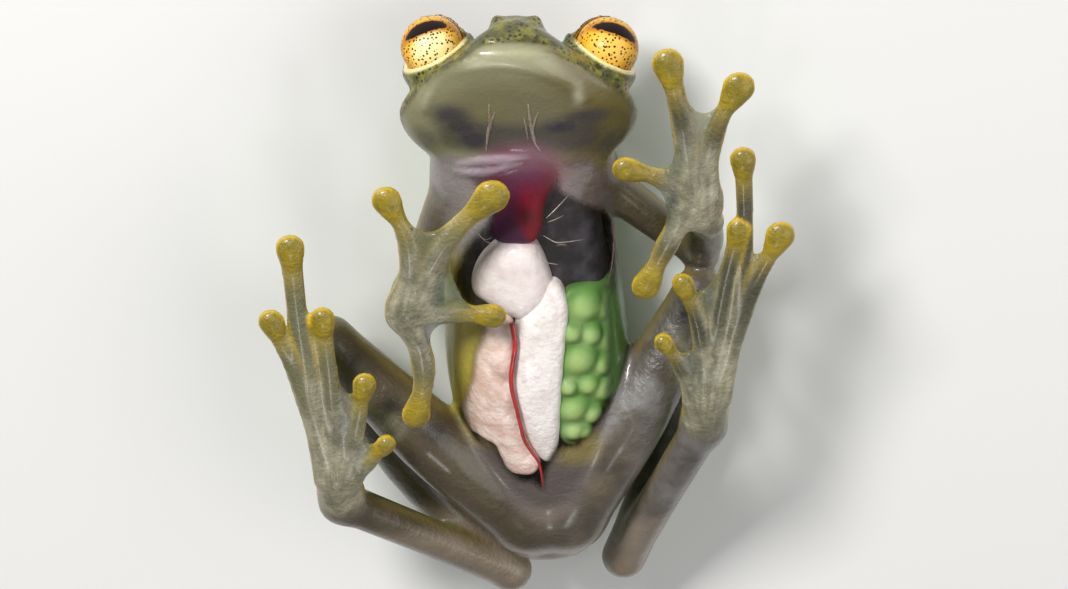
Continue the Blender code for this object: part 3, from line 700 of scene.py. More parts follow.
def leg_forms(side):
    """Thigh, shank and tarsus, the first two bowed up and out by their muscles"""
    hip, knee, heel, ankle = (np.array(LEG[side][key]) for key in ("hip", "knee", "heel", "ankle"))
    outward = np.cross(knee - hip, (0.0, 0.0, 1.0)) * (-1 if side == "right" else 1)
    outward /= np.linalg.norm(outward)
    thigh_middle = (hip + knee) / 2 + np.array((0.0, 0.0, 0.7))
    shank_middle = (knee + heel) / 2 + outward * 0.8 - np.array((0.0, 0.0, 0.75))
    return (tube([hip, thigh_middle, knee], (1.6, 1.5, 1.02)),
            tube([knee, shank_middle, heel], (0.95, 1.12, 0.85)),
            tube([heel, (heel + ankle) / 2, ankle], (0.85, 0.8, 0.84)))


def digit_route(root, tip, bow, level):
    """A curved line from a digit's root to its pad, bowed to the right of its travel"""
    start, end = np.array((*root, level)), np.array((*tip, SOLE_LEVEL))
    beside = np.array((end[1] - start[1], start[0] - end[0], 0.0))
    beside /= np.linalg.norm(beside)
    return np.array([start, start + (end - start) / 3 + beside * bow,
                     start + (end - start) * 2 / 3 + beside * bow, end])


def digit_forms(route, radius, pad):
    """A slim digit with low swellings at its joints, and the pad of its tip"""
    end = route[-1]
    back = (route[-2] - end) / np.linalg.norm(route[-2] - end)
    places = np.linspace(0.0, 1.0, 9)
    swell = 1.0 + 0.07 * np.cos(places * 4 * math.pi)
    radii = radius * np.interp(places, (0.0, 0.3, 1.0), (1.25, 1.05, 0.86)) * swell
    turn = np.array(((back[0], -back[1], 0.0), (back[1], back[0], 0.0), (0.0, 0.0, 1.0)))
    bone = tube(curve(route, places), radii, flat=0.66, parts=12)
    disc = ball(end + back * 0.03, (pad * 1.04, pad, PAD_HALF), turn)
    neck = ball(end + back * pad * 0.85, (pad * 0.8, pad * 0.7, PAD_HALF * 0.92), turn)
    return bone, disc, neck


def paw_forms(digits, webs, level, thickness=WEB_THICKNESS):
    """The digits of one hand or foot and the webs between them"""
    routes = [digit_route(root, tip, bow, level) for root, tip, bow, _, _ in digits]
    fingers = [digit_forms(route, row[3], row[4]) for route, row in zip(routes, digits)]
    skins = [web(routes[first], routes[second], (one, two), level, thickness)
             for first, second, one, two in webs]
    return routes, fingers, skins


FOOT_LEVEL = SOLE_LEVEL - 0.25
paws = {}
for side, _ in SIDES:
    paws["hand", side] = paw_forms(FINGERS[side], FINGER_WEBS[side], SOLE_LEVEL)
    paws["foot", side] = paw_forms(TOES[side], TOE_WEBS[side], FOOT_LEVEL)
print("digits:", sum(len(paw[1]) for paw in paws.values()))

# %% [markdown]
# ## One skin
#
# All forms go into one block of clay, group by group, so that a raised hand doesn't melt
# into the belly under it. The smooth surface is thinned where it is plain.

# %% Model the skin
SKIN_CELL = 0.12
GRID_LOW = np.array(cad_low) / MM - SHIFT - 0.35
GRID_HIGH = np.array(cad_high) / MM - SHIFT + 0.35


def model_trunk_and_head():
    """Trunk, shoulders, hips, head, orbits, lids, nostrils and mouth"""
    clay = Clay(GRID_LOW, GRID_HIGH, SKIN_CELL).add(trunk, blend=0.2)
    clay.add(skull, blend=0.9)
    clay.add(jaw_ridge, blend=0.45)
    clay.add(snout_bar, blend=0.4)
    clay.add(*chest_folds, blend=0.2)
    for side, sign in SIDES:
        eye = mirrored(EYE_PLACE, sign)
        clay.add(ball(ARM[side]["shoulder"], 1.25), blend=0.9)
        clay.add(ball(LEG[side]["hip"], 1.45), blend=0.9)
        clay.add(ball(from_head(eye + mirrored(ORBIT_SHIFT, sign)), ORBIT_RADIUS), blend=0.3)
        clay.add(ball(from_head(mirrored(CANTHUS_PLACE, sign)), CANTHUS_RADIUS), blend=0.25)
        clay.add(ball(from_head(mirrored(NOSTRIL_PLACE, sign)), NOSTRIL_RADIUS), blend=0.2)
    for _, sign in SIDES:
        eye = from_head(mirrored(EYE_PLACE, sign))
        fold, opening = lid_forms(sign)
        clay.carve(opening, blend=0.1)
        clay.add(fold, blend=0.1)
        clay.carve(ball(eye, EYE_RADIUS + 0.03), blend=0.05)
        clay.carve(ball(from_head(mirrored(NOSTRIL_PIT, sign)), 0.1), blend=0.08)
    clay.carve(mouth, blend=0.15)
    return clay


def model_limbs(side):
    """One arm with its hand, and one leg with its foot"""
    clay = Clay(GRID_LOW, GRID_HIGH, SKIN_CELL)
    clay.add(*arm_forms(side), blend=0.4)
    (x, y), (wide, deep) = PALM[side]
    palm = np.array((x, y, SOLE_LEVEL - 0.1))
    clay.add(ball(palm, (wide, deep, 0.42)), blend=0.4)
    clay.add(tube([ARM[side]["wrist"], palm], (0.6, 0.55), parts=3), blend=0.5)
    clay.add(*leg_forms(side), blend=0.35)
    roots = np.mean([route[0] for route in paws["foot", side][0]], axis=0)
    ankle = np.array(LEG[side]["ankle"])
    clay.add(tube([ankle, (ankle + roots) / 2, roots], (0.95, 1.0, 0.85), flat=0.62), blend=0.5)
    for paw in ("hand", "foot"):
        _, digits, skins = paws[paw, side]
        for digit in digits:
            clay.add(*digit, blend=0.22)
        clay.add(*skins, blend=0.28)
    return clay


def model_skin():
    """The whole frog as one surface"""
    clay = model_trunk_and_head()
    for side, _ in SIDES:
        clay.merge(model_limbs(side), 0.45)
    floor = Form(GRID_LOW, (*GRID_HIGH[:2], 0.0), lambda point: point[2] + 0 * point[0] + 0 * point[1])
    clay.carve(floor, blend=0.25)
    return clay.skin()


points, faces = model_skin()
skin = refine(make_piece("skin", points, faces), 3, 190000)
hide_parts("head", "lower_jaw", "torso", *[part + "_" + side for side, _ in SIDES for part in
            ("upper_arm", "forearm", "hand", "thigh", "shank", "tarsus", "foot")])
print("skin triangles:", sum(len(face.vertices) - 2 for face in skin.data.polygons))

# %% [markdown]
# ## Marks on the skin
#
# The skin isn't one colour. Each point stores a few numbers between 0 and 1 that say where
# on the frog it is: on a pad, on a limb's side, over the clear belly, on the back, on the
# face. The materials mix their colours by these marks, so no picture is needed.

# %% Where each point lies
# Painted shade in the throat's hollows and under the jaw corners, in the head's frame: place, half sizes
# and depth of the shade
SHADE_HOLLOWS = (
    (-2.75, -1.2, 1.0, 0.8, 0.9),
    (-1.8, -2.4, 1.0, 0.8, 1.0),
    (-2.35, -1.8, 0.95, 0.8, 0.95),
    (1.7, -1.65, 1.1, 0.6, 1.0),
    (2.7, -1.15, 1.3, 0.55, 0.85),
    (-3.9, -2.9, 1.2, 0.9, 0.6),
    (3.9, -2.9, 1.2, 0.9, 0.55),
)
# The clear part of the belly, on the floor plan
WINDOW = (
    (-2.44, 3.59), (-3.12, 2.27), (-3.31, 1.12), (-2.8, 0.5), (-2.1, 0.05), (-2.35, -0.6),
    (-2.65, -1.4), (-2.85, -2.5), (-3.3, -4.0), (-3.55, -5.1), (-3.28, -5.93), (-2.29, -6.06),
    (-1.72, -7.0), (-1.22, -7.65), (-0.6, -7.75), (-0.08, -8.2), (0.15, -7.1), (0.72, -6.1),
    (1.5, -6.05), (2.2, -5.35), (2.8, -4.65), (3.5, -4.0), (3.85, -2.84), (3.84, -1.33),
    (3.56, -0.05), (3.49, 1.56), (3.56, 3.04), (3.12, 4.08), (2.03, 5.2), (1.44, 5.7),
    (1.41, 6.43), (0.8, 7.14), (-1.0, 7.39), (-2.23, 6.87), (-2.35, 6.25), (-1.72, 5.48),
    (-1.65, 4.66),
)
# The painted sheen along the left thigh: a highlight stripe from the hip to the knee
SHEEN_LINE = ((0.9, -6.9, 5.6), (3.0, -4.9, 5.4), (5.0, -3.1, 5.0))


def closed_line(corners, count=3):
    """A closed smooth line through corners: the row is lengthened past both ends, then cut"""
    corners = np.asarray(corners)
    row = np.vstack([corners[-3:], corners, corners[:3]])
    places = np.arange(3, 3 + len(corners), 1 / count) / (len(row) - 1)
    return curve(row, places)


def along_route(point, route, parts=12):
    """For points: the share along a route, the signed distance beside it, and how near it is"""
    line = curve(route, np.linspace(0.0, 1.0, parts + 1))
    best = np.full(point[0].shape, np.inf)
    share, side = np.zeros_like(best), np.zeros_like(best)
    for number, (start, end) in enumerate(zip(line, line[1:])):
        step = (end - start)[:2]
        off = (point[0] - start[0], point[1] - start[1])
        part = np.clip((off[0] * step[0] + off[1] * step[1]) / (step @ step), 0.0, 1.0)
        plan = np.hypot(off[0] - part * step[0], off[1] - part * step[1])
        away = plan + 0.8 * np.abs(point[2] - start[2])
        closer = away < best
        best = np.where(closer, away, best)
        share = np.where(closer, (number + part) / parts, share)
        beside = (off[0] * step[1] - off[1] * step[0]) / np.linalg.norm(step)
        side = np.where(closer, beside, side)
    return share, side, best


def mark_digits(place, normal):
    """Pads, their rims and base crescents, edges with a painted rim light, slim middles, webs, and lanes
    for streaks
    """
    zeros = np.zeros_like(place[0])
    marks = {name: zeros for name in ("pad", "rim", "tip", "core", "web", "paw", "lane", "run")}
    nearest = np.full_like(zeros, np.inf)
    for (paw, name), (routes, _, skins) in paws.items():
        digits = FINGERS if paw == "hand" else TOES
        for number, (route, row) in enumerate(zip(routes, digits[name])):
            share, side, away = along_route(place, route)
            marks["paw"] = np.maximum(marks["paw"], 1 - ease(away, 1.1, 2.4))
            radius, pad = row[3], row[4]
            closer = away < nearest
            nearest = np.where(closer, away, nearest)
            marks["lane"] = np.where(closer, side + 3.0 * number, marks["lane"])
            length = np.linalg.norm(route[-1] - route[0])
            marks["run"] = np.where(closer, share * length, marks["run"])
            end, back = route[-1], (route[-2] - route[-1])[:2]
            back = back / np.linalg.norm(back)
            off = (place[0] - end[0]) / pad, (place[1] - end[1]) / pad
            reach, behind = np.hypot(*off), off[0] * back[0] + off[1] * back[1]
            near = 1 - ease(away, radius + pad * 0.5, radius + pad * 0.8)
            disc = (1 - ease(reach, 1.2, 2.3)) * near
            rim = ease(reach, 0.78, 1.0) * (1 - ease(reach, 1.15, 1.5)) * near
            rim = rim * (1 - 0.85 * ease(behind, 0.1, 0.7))
            crescent = ease(behind, 0.45, 0.95) * (1 - ease(reach, 1.15, 1.7)) * near * 0.12
            core = 1 - ease(np.abs(side) / radius, 0.5, 1.0)
            core = core * ease(share, 0.3, 0.6) * near * (1 - disc)
            rim = np.maximum(rim, crescent)
            tip = ease(share, 1 - 4.2 * pad / length, 1.0) * near
            start = 0.2 if paw == "hand" else 0.55
            fringe = ease(np.abs(side) / radius, 0.65, 1.05) * near * ease(share, start, start + 0.3)
            tip = np.maximum(tip, 0.8 * fringe)
            for key, value in (("pad", disc), ("rim", rim), ("tip", tip), ("core", core)):
                marks[key] = np.maximum(marks[key], value)
        for skin_form in skins:
            inside = 1 - ease(skin_form.distance(place), 0.0, 0.2)
            marks["web"] = np.maximum(marks["web"], inside)
    # Painted rim light: the digits' sides, where the surface leans away from level, turn gold
    lean = 1 - np.abs(normal[2])
    marks["edge"] = ease(lean, 0.3, 0.85) * (1 - ease(nearest, 1.0, 1.6))
    marks["web"] = marks["web"] * (1 - ease(np.abs(marks["core"]), 0.2, 0.6))
    marks["tip"] = marks["tip"] * (1 - 0.6 * marks["web"])
    return marks


def mark_head(place):
    """The speckled face above the mouth, the throat inside the jaw, a pale jaw ridge line with a painted
    highlight and glare, and painted shade in its hollows
    """
    x, y, z = to_head(place)
    neck = -3.3 - 0.9 * ease(np.abs(x), 2.6, 3.6)
    on_head = ease(y, neck - 0.5, neck + 0.4) * (1 - ease(skull_distance(place), 0.9, 1.6))
    lip = MOUTH_HEIGHT + 0.5 * ease(np.abs(x), 0.9, 2.4)
    face = on_head * (1 - ease(z, lip - 0.1, lip + 0.22))
    (middle_x, middle_y), (half_x, half_y) = JAW_OVAL
    bowl = np.hypot((x - middle_x) / half_x, (y - middle_y) / half_y)
    under = ease(z, lip + 0.15, lip + 0.65)
    throat = on_head * (1 - ease(bowl, 0.5, 1.15)) * under
    # A pale line along the jaw ridge, fading toward the frog's left, partly a painted highlight; and a
    # painted glare spot on the left
    ring = np.exp(-((bowl - 1.02) / 0.05) ** 2) * ease(-x, -2.2, 3.6) * ease(y, -1.4, 0.0)
    glow = np.exp(-((x - 2.32) / 0.22) ** 2 - ((y - 0.15) / 0.5) ** 2)
    band = np.exp(-((bowl - 1.2) / 0.13) ** 2) * ease(y, -1.0, 1.2)
    # Painted shade: darker in the throat's hollows, under the jaw corners and behind the jaw line toward
    # the neck
    hollow = np.zeros_like(x)
    for spot_x, spot_y, wide, deep, depth in SHADE_HOLLOWS:
        spot = np.hypot((x - spot_x) / wide, (y - spot_y) / deep)
        hollow = np.maximum(hollow, depth * (1 - ease(spot, 0.3, 1.3)))
    edge = -1.35 + 0.5 * np.minimum(np.abs(x) / 3.0, 1.2) ** 2
    behind = (1 - ease(y, edge - 0.5, edge + 0.2)) * (1 - ease(np.abs(x), 2.8, 3.9)) * 0.72
    hollow = np.maximum(hollow, behind * (1 - ease(-y, 2.7, 3.5)))
    pale = 0.8 * band * (1 - 0.6 * ease(x, 0.6, 2.2)) * (1 - 0.25 * ease(-x, 1.5, 3.0))
    return {"face": face, "throat": throat, "jaw": on_head * (1 - face),
            "pale": pale * under * on_head, "ridge": np.maximum(ring, 0.8 * glow) * under * on_head, "hollow": hollow * under * on_head}


def lower_lid(place):
    """1 where a place lies on the lower half of an eye, toward the throat"""
    x, y, z = to_head(place)
    return ease(z - 0.35 * y, -0.45, 0.15)


def mark_lids(place):
    """The pale edge of the lower lids, and the speckled skin round the eyes"""
    edge, orbit = np.zeros_like(place[0]), np.zeros_like(place[0])
    for _, sign in SIDES:
        centre = from_head(mirrored(EYE_PLACE, sign))
        offset = [value - middle for value, middle in zip(place, centre)]
        away = np.sqrt(sum(value ** 2 for value in offset))
        orbit = np.maximum(orbit, 1 - ease(away, EYE_RADIUS + 0.45, EYE_RADIUS + 0.75))
        near = (1 - ease(away, EYE_RADIUS + 0.15, EYE_RADIUS + 0.3))
        edge = np.maximum(edge, near * (1 - ease(np.abs(opening_height(offset, sign)), 0.02, 0.12)))
    return {"lid": edge * lower_lid(place), "orbit": orbit}


def mark_body(place, normal):
    """The back, the sides of the limbs with a painted rim light, the clear belly, the thick flesh of the
    thighs with a painted sheen and a paler knee, and painted highlights on the chest folds
    """
    x, y, z = place
    loose = 0.8 * ease(y, 4.5, 6.5)
    on_trunk = 1 - ease(trunk_distance(place) - loose, 0.12, 0.45)
    on_trunk = on_trunk * (1 - ease(y, 7.8, 8.8))
    back = ease(-normal[2], 0.0, 0.5)
    # Painted rim light: where the skin turns sideways it takes a yellow olive light
    side = ease(-normal[2], -0.6, -0.1) * (1 - back)
    limbs = [form for name, _ in SIDES for form in (*arm_forms(name), *leg_forms(name))]
    limb = np.minimum.reduce([form.distance(place) for form in limbs])
    window = outline_distance(x, y, closed_line(WINDOW))
    clear = on_trunk * (1 - ease(window, -0.28, 0.1)) * ease(normal[2], -0.1, 0.3)
    clear = clear * ease(limb, 0.1, 0.4) * (1 - 0.85 * ease(y, 5.4, 6.8))
    top = on_trunk * ease(normal[2], 0.0, 0.4)
    rose = np.hypot((x + 0.25) / 2.05, (y - 6.6) / 1.6)
    yolk = on_trunk * ease(x, 2.65, 3.2) * ease(y, -5.2, -3.8) * (1 - ease(y, 0.0, 1.5))
    yolk = yolk * ease(limb, 0.1, 0.5)
    # The chest folds get a painted highlight over their pale skin
    folds = np.minimum.reduce([form.distance(place) for form in chest_folds])
    # Painted sheen: a highlight stripe along the left thigh
    share, beside, _ = along_route(place, SHEEN_LINE, 4)
    sheen = np.exp(-(beside / (0.3 + 0.4 * share)) ** 2) * ease(normal[2], 0.1, 0.5)
    sheen = sheen * ease(share, 0.0, 0.12) * (1 - ease(share, 0.85, 1.0)) * (1 - ease(limb, 0.1, 0.3))
    warm = ease(-x, -0.5, 1.0) * (1 - ease(y, 0.5, 2.0))
    low = ease(0.3 * np.abs(x) - y, 11.2, 12.4)
    warm = np.maximum(warm * (1 - low), ease(x, 2.8, 3.6) * ease(y, 1.5, 2.5))
    flank = ease(-x, 1.6, 2.8) * ease(y, -6.5, -4.5) * (1 - ease(y, 1.5, 3.5))
    olive = np.hypot((x - 1.5) / 1.2, (y + 6.1) / 1.0)
    flank = np.maximum(flank, 0.5 * (1 - ease(olive, 0.3, 1.3)) * ease(normal[2], 0.0, 0.4))
    return {"back": back, "side": side, "clear": clear * (1 - 0.9 * yolk), "trunk": on_trunk,
            "yolk": yolk, "far": ease(x, -0.6, 2.4), "high": ease(y, 6.2, 7.3), "sheen": sheen, "warm": warm, "low": low, "knee": ease(x, 2.6, 5.0) * (1 - ease(y, -0.5, 1.0)), "fold": top * (1 - ease(folds, -0.02, 0.1)),
            "chest": top * ease(y, 2.6, 4.2), "rose": top * (1 - ease(rose, 0.5, 1.2)),
            "rump": ease(-y, 8.6, 10.4) * top,
            "flank": on_trunk * flank}


place, normal = places_of(skin), normals_of(skin)
marks = {**mark_digits(place, normal), **mark_head(place), **mark_lids(place),
         **mark_body(place, normal)}
for name, values in marks.items():
    mark(skin, name, values)
print("marks:", ", ".join(f"{name} {values.mean():.3f}" for name, values in marks.items()))

# %% [markdown]
# ## Materials
#
# A material is a tree of nodes. To write its maths as plain expressions, one class wraps a
# socket and turns + - * / into Math nodes, and another adds any other node.

# %% Shader helpers


def linear(red, green, blue):
    """A colour seen on screen, 0 to 255, as the linear light that Blender mixes"""
    values = np.array((red, green, blue)) / 255
    return (*np.where(values <= 0.04045, values / 12.92, ((values + 0.055) / 1.055) ** 2.4), 1.0)


class Signal:
    """A socket with Python's arithmetic: each operation adds a Math node"""

    def __init__(self, paint, socket):
        self.paint, self.socket = paint, socket

    def math(self, operation, first, second=0.0, clamp=False):
        settings = {"operation": operation, "use_clamp": clamp}
        return self.paint.node("ShaderNodeMath", settings, {0: first, 1: second})

    def __add__(self, other):
        return self.math("ADD", self, other)

    def __sub__(self, other):
        return self.math("SUBTRACT", self, other)

    def __rsub__(self, other):
        return self.math("SUBTRACT", other, self)

    def __mul__(self, other):
        return self.math("MULTIPLY", self, other)

    def __truediv__(self, other):
        return self.math("DIVIDE", self, other)

    __radd__, __rmul__ = __add__, __mul__

    def clamp(self):
        return self.math("ADD", self, 0.0, clamp=True)


class Paint:
    """A material under construction"""

    def __init__(self, name):
        self.material = bpy.data.materials.new(name)
        self.material.use_nodes = True
        self.tree = self.material.node_tree
        self.shader = self.tree.nodes["Principled BSDF"]

    def put(self, sockets, values):
        """Link or set sockets by number or name"""
        for key, value in values.items():
            if isinstance(value, Signal):
                self.tree.links.new(value.socket, sockets[key])
            else:
                sockets[key].default_value = value

    def node(self, kind, settings=None, values=None, output=0):
        """Add a node: settings and a ramp's stops first, then its sockets"""
        node = self.tree.nodes.new(kind)
        for key, value in (settings or {}).items():
            if key == "stops":
                ramp = node.color_ramp.elements
                while len(ramp) < len(value):
                    ramp.new(0.5)
                for stop, (position, colour) in zip(ramp, value):
                    stop.position, stop.color = position, colour
            else:
                setattr(node, key, value)
        self.put(node.inputs, values or {})
        return Signal(self, node.outputs[output])

    def mark(self, name):
        """A number stored at the points of the mesh"""
        return self.node("ShaderNodeAttribute", {"attribute_name": name}, output="Fac")

    def spot(self):
        """The place on the object, in metres"""
        return self.node("ShaderNodeTexCoord", output="Object")

    def noise(self, per_mm, detail=3.0, roughness=0.55, where=None):
        """Cloudy noise with so many clouds to a millimetre"""
        return self.node("ShaderNodeTexNoise", values={"Vector": where or self.spot(),
                         "Scale": per_mm * 1000, "Detail": detail, "Roughness": roughness})

    def cells(self, per_mm, feature="F1"):
        """Distance to scattered points, so many to a millimetre"""
        return self.node("ShaderNodeTexVoronoi", {"feature": feature},
                         {"Vector": self.spot(), "Scale": per_mm * 1000})

    def step(self, value, low, high):
        """0 below low, 1 above high, smooth between"""
        return self.node("ShaderNodeMapRange", {"interpolation_type": "SMOOTHSTEP"},
                         {0: value, 1: low, 2: high})

    def mix(self, share, first, second):
        """Blend two colours"""
        return self.node("ShaderNodeMix", {"data_type": "RGBA"}, {0: share, 6: first, 7: second},
                         output=2)

    def bump(self, height, strength, depth_mm):
        """Turn a height into a tilt of the surface"""
        return self.node("ShaderNodeBump", values={"Height": height, "Strength": strength,
                         "Distance": depth_mm * MM})

    def finish(self, piece, **sockets):
        """Set the shader's sockets and give the material to a piece"""
        self.put(self.shader.inputs, {key.replace("_", " "): value for key, value in sockets.items()})
        piece.data.materials.clear()
        piece.data.materials.append(self.material)


# %% [markdown]
# The skin's finish: wet, clear and thin. Flesh under it is grey brown, its sides and the digits'
# edges get a painted yellow rim light, the pads are gold with a bright rim, the palms are milky,
# and the back, which lies on the floor, is lime green with small specks. Over the belly the skin
# is clear. Painted highlights lie on the left thigh, the chest folds and the jaw ridge, and
# painted shade lies in the throat's hollows.

# %% Colours of the skin
FLESH = linear(108, 96, 76)
FLESH_PALE_SHEEN = linear(122, 118, 116)
FLESH_DARK = linear(68, 60, 48)
FLESH_WARM = linear(62, 50, 22)
FLESH_TAN = linear(142, 126, 106)
SHEEN_GREY = linear(150, 150, 150)
SIDE_RIM_LIGHT = linear(116, 100, 50)
PALM_MILK = linear(156, 150, 124)
PALM_GREY = linear(98, 96, 74)
DIGIT_GREY = linear(96, 94, 62)
DIGIT_DARK = linear(54, 52, 26)
PAD_OLIVE = linear(142, 122, 12)
PAD_DARK = linear(116, 102, 12)
RIM_GOLD = linear(206, 168, 12)
TIP_GOLD_AND_RIM_LIGHT = linear(170, 144, 30)
WEB_BLUE = linear(70, 76, 84)
BACK_LIME = linear(110, 150, 34)
SPECK_DARK = linear(28, 26, 8)
SPECK_YELLOW = linear(206, 196, 60)
FACE_OLIVE = linear(68, 68, 6)
FACE_YELLOW = linear(114, 110, 20)
JAW_BAND = linear(128, 126, 92)
JAW_BROWN = linear(100, 86, 40)
JAW_WHITE = linear(170, 170, 136)
RIDGE_HIGHLIGHT = linear(206, 202, 176)
THROAT_OLIVE = linear(112, 105, 74)
HOLLOW_SHADE = linear(50, 44, 52)
LID_CREAM = linear(240, 226, 168)
FLANK_OLIVE = linear(168, 152, 52)
BODY_GREY = linear(90, 80, 74)
CHEST_GREY = linear(124, 116, 113)
CHEST_BROWN = linear(88, 72, 66)
ROSE_VIOLET = linear(88, 36, 68)
ROSE_RED = linear(104, 26, 40)
ROSE_MAUVE = linear(112, 74, 84)
FOLD_HIGHLIGHT = linear(176, 158, 170)
YOLK_OLIVE = linear(58, 112, 20)
RUMP_BROWN = linear(118, 102, 90)
CLEAR_BELLY = 0.93
CLEAR_WEB = 0.55


def paint_skin(piece):
    """Mix the skin's colours by its marks"""
    paint = Paint("frog_skin")
    mark, mix, step = paint.mark, paint.mix, paint.step
    cloud, fine = paint.noise(0.45), paint.noise(5.0)
    # Flesh: darker in clouds, and paler grey toward the left knee, where the pale is partly a painted
    # highlight
    flesh = mix(step(cloud, 0.3, 0.75), FLESH_DARK, mix(mark("knee"), FLESH, FLESH_PALE_SHEEN))
    flesh = mix(mark("warm") * 0.7, flesh, FLESH_WARM)
    flesh = mix(mark("low") * 0.5, flesh, FLESH_TAN)
    # Painted yellow rim light on the limbs' sides
    flesh = mix(mark("side") * 0.75, flesh, SIDE_RIM_LIGHT)
    lanes = paint.node("ShaderNodeCombineXYZ", values={0: mark("lane") * 2.6, 1: mark("run") * 0.7})
    streaks = paint.node("ShaderNodeTexNoise", values={"Vector": lanes, "Scale": 1.0, "Detail": 4.0})
    milky = streaks * 0.5 + paint.noise(1.1) * 0.5
    palm = mix(step(milky, 0.36, 0.66), PALM_GREY, PALM_MILK)
    colour = mix(mark("paw"), flesh, palm)
    colour = mix(mark("web") * 0.6, colour, WEB_BLUE)
    colour = mix(mark("core") * 0.9, colour, mix(mark("far"), DIGIT_GREY, DIGIT_DARK))
    colour = mix(mark("tip") * 0.75, colour, TIP_GOLD_AND_RIM_LIGHT)
    colour = mix(mark("pad"), colour, mix(step(paint.noise(1.5), 0.35, 0.65), PAD_DARK, PAD_OLIVE))
    # Painted yellow rim light on the digits' sides
    colour = mix(mark("edge") * 0.85, colour, TIP_GOLD_AND_RIM_LIGHT)
    colour = mix(mark("rim") * 0.85, colour, RIM_GOLD)
    colour = mix(mark("trunk"), colour, BODY_GREY)
    colour = mix(mark("flank") * 0.85, colour, FLANK_OLIVE)
    colour = mix(mark("yolk"), colour, YOLK_OLIVE)
    colour = mix(mark("chest"), colour, mix(mark("far"), CHEST_GREY, CHEST_BROWN))
    colour = mix(mark("rump"), colour, RUMP_BROWN)
    # Painted highlight: a broken grey sheen along the left thigh
    colour = mix(mark("sheen") * step(paint.noise(1.6), 0.1, 0.75) * 0.6, colour, SHEEN_GREY)
    colour = mix(mark("jaw"), colour, mix(mark("far"), JAW_BAND, JAW_BROWN))
    colour = mix(mark("throat"), colour, THROAT_OLIVE)
    colour = mix(mark("pale") * 0.9, colour, JAW_WHITE)
    # Painted highlight along the jaw ridge, and a painted glare spot
    colour = mix(mark("ridge") * 0.7, colour, RIDGE_HIGHLIGHT)
    # Painted shade in the throat's hollows and behind the jaw
    colour = mix(mark("hollow"), colour, HOLLOW_SHADE)
    rose = mix(step(cloud + mark("far") * 0.6, 0.45, 0.85), ROSE_VIOLET, ROSE_RED)
    rose = mix(mark("high"), rose, ROSE_MAUVE)
    colour = mix(mark("rose"), colour, rose)
    # Painted highlight on the chest folds
    colour = mix(mark("fold") * 0.6, colour, FOLD_HIGHLIGHT)
    lime = mix(step(paint.cells(1.6), 0.16, 0.26), SPECK_YELLOW, BACK_LIME)
    lime = mix(step(paint.cells(3.4), 0.14, 0.22), SPECK_DARK, lime)
    colour = mix(mark("back") * 0.92, colour, lime)
    olive = mix(step(paint.noise(1.6), 0.42, 0.6), FACE_OLIVE, FACE_YELLOW)
    speckled = mix(step(paint.cells(8.0) + cloud * 0.5, 0.42, 0.6) * 0.5 + 0.5, SPECK_DARK, olive)
    speckled = mix(step(paint.cells(4.6) + fine * 0.16, 0.36, 0.5), SPECK_DARK, speckled)
    colour = mix((mark("face") + mark("orbit")).clamp(), colour, speckled)
    colour = mix(mark("lid"), colour, LID_CREAM)
    height = paint.noise(2.5, detail=4.0) + paint.noise(7.0) * (0.5 + mark("paw") * 0.5)
    height = height * (1 - mark("jaw") * 0.5)
    shader = paint.shader.inputs
    shader["Subsurface Weight"].default_value = 0.15
    shader["Subsurface Radius"].default_value = (1.0, 0.7, 0.35)
    shader["Subsurface Scale"].default_value = 0.0004
    shader["Coat Roughness"].default_value = 0.19
    solid = (1 - mark("clear") * CLEAR_BELLY) * (1 - mark("web") * CLEAR_WEB)
    paint.finish(piece, Base_Color=colour, Roughness=0.34 + fine * 0.15, Alpha=solid,
                 Coat_Weight=0.55 + (mark("chest") + mark("jaw")) * 0.2 - mark("pad") * 0.2,
                 Normal=paint.bump(height, 0.8, 0.08))


paint_skin(skin)

# %% [markdown]
# ## Eyes
#
# Each eyeball is a ball of rings round the line of sight, with two marks for the directions
# along and across the pupil. The material draws a long level pupil, a golden iris with
# brown specks and an orange rim from them, and a painted pale glare on the lower half; a
# clear coat gives the wet glint.

# %% Eyeballs
PUPIL_AXIS = np.array((0.298, 0.953, -0.057))
PUPIL_LINE = np.array((0.936, -0.256, 0.244))
IRIS_GOLD = linear(226, 170, 36)
IRIS_GLARE = linear(255, 246, 188)
IRIS_ORANGE = linear(160, 88, 14)
IRIS_SPECK = linear(70, 34, 6)
PUPIL_DARK = linear(20, 3, 5)
PUPIL_SIZE = (0.7, 0.22)
# How strongly a painted glare shows on the lower half of each eye: the light comes from the frog's right
GLARE_STRENGTH = {"right": 0.72, "left": 0.15}


def ball_grid(centre, radius, axis, line, rings=72, sides=120):
    """Ball as rings: tilt from the axis and angle round it give each point"""
    axis, line = axis / np.linalg.norm(axis), line / np.linalg.norm(line)
    beside = np.cross(axis, line)
    tilt = np.linspace(0.0, math.pi, rings + 1)[1:-1, None]
    angle = np.linspace(0.0, 2 * math.pi, sides, endpoint=False)[None, :]
    out = [axis[row] * np.cos(tilt) + np.sin(tilt) * (line[row] * np.cos(angle)
           + beside[row] * np.sin(angle)) for row in range(3)]
    ring = np.stack([value.ravel() for value in out], axis=1)
    points = centre + radius * np.vstack([axis, ring, -axis])
    row, column = np.meshgrid(np.arange(rings - 2), np.arange(sides), indexing="ij")
    beside_column = (column + 1) % sides
    quads = np.stack([row * sides + column, (row + 1) * sides + column,
                      (row + 1) * sides + beside_column, row * sides + beside_column], axis=-1)
    quads = quads.reshape(-1, 4) + 1
    step = np.arange(sides)
    last = (rings - 2) * sides + 1
    first_cap = np.stack([np.zeros(sides, int), 1 + step, 1 + (step + 1) % sides], axis=1)
    last_cap = np.stack([np.full(sides, len(points) - 1), last + (step + 1) % sides, last + step], axis=1)
    triangles = np.vstack([first_cap, last_cap, quads[:, [0, 1, 2]], quads[:, [0, 2, 3]]])
    return points, triangles, (axis, line, beside)


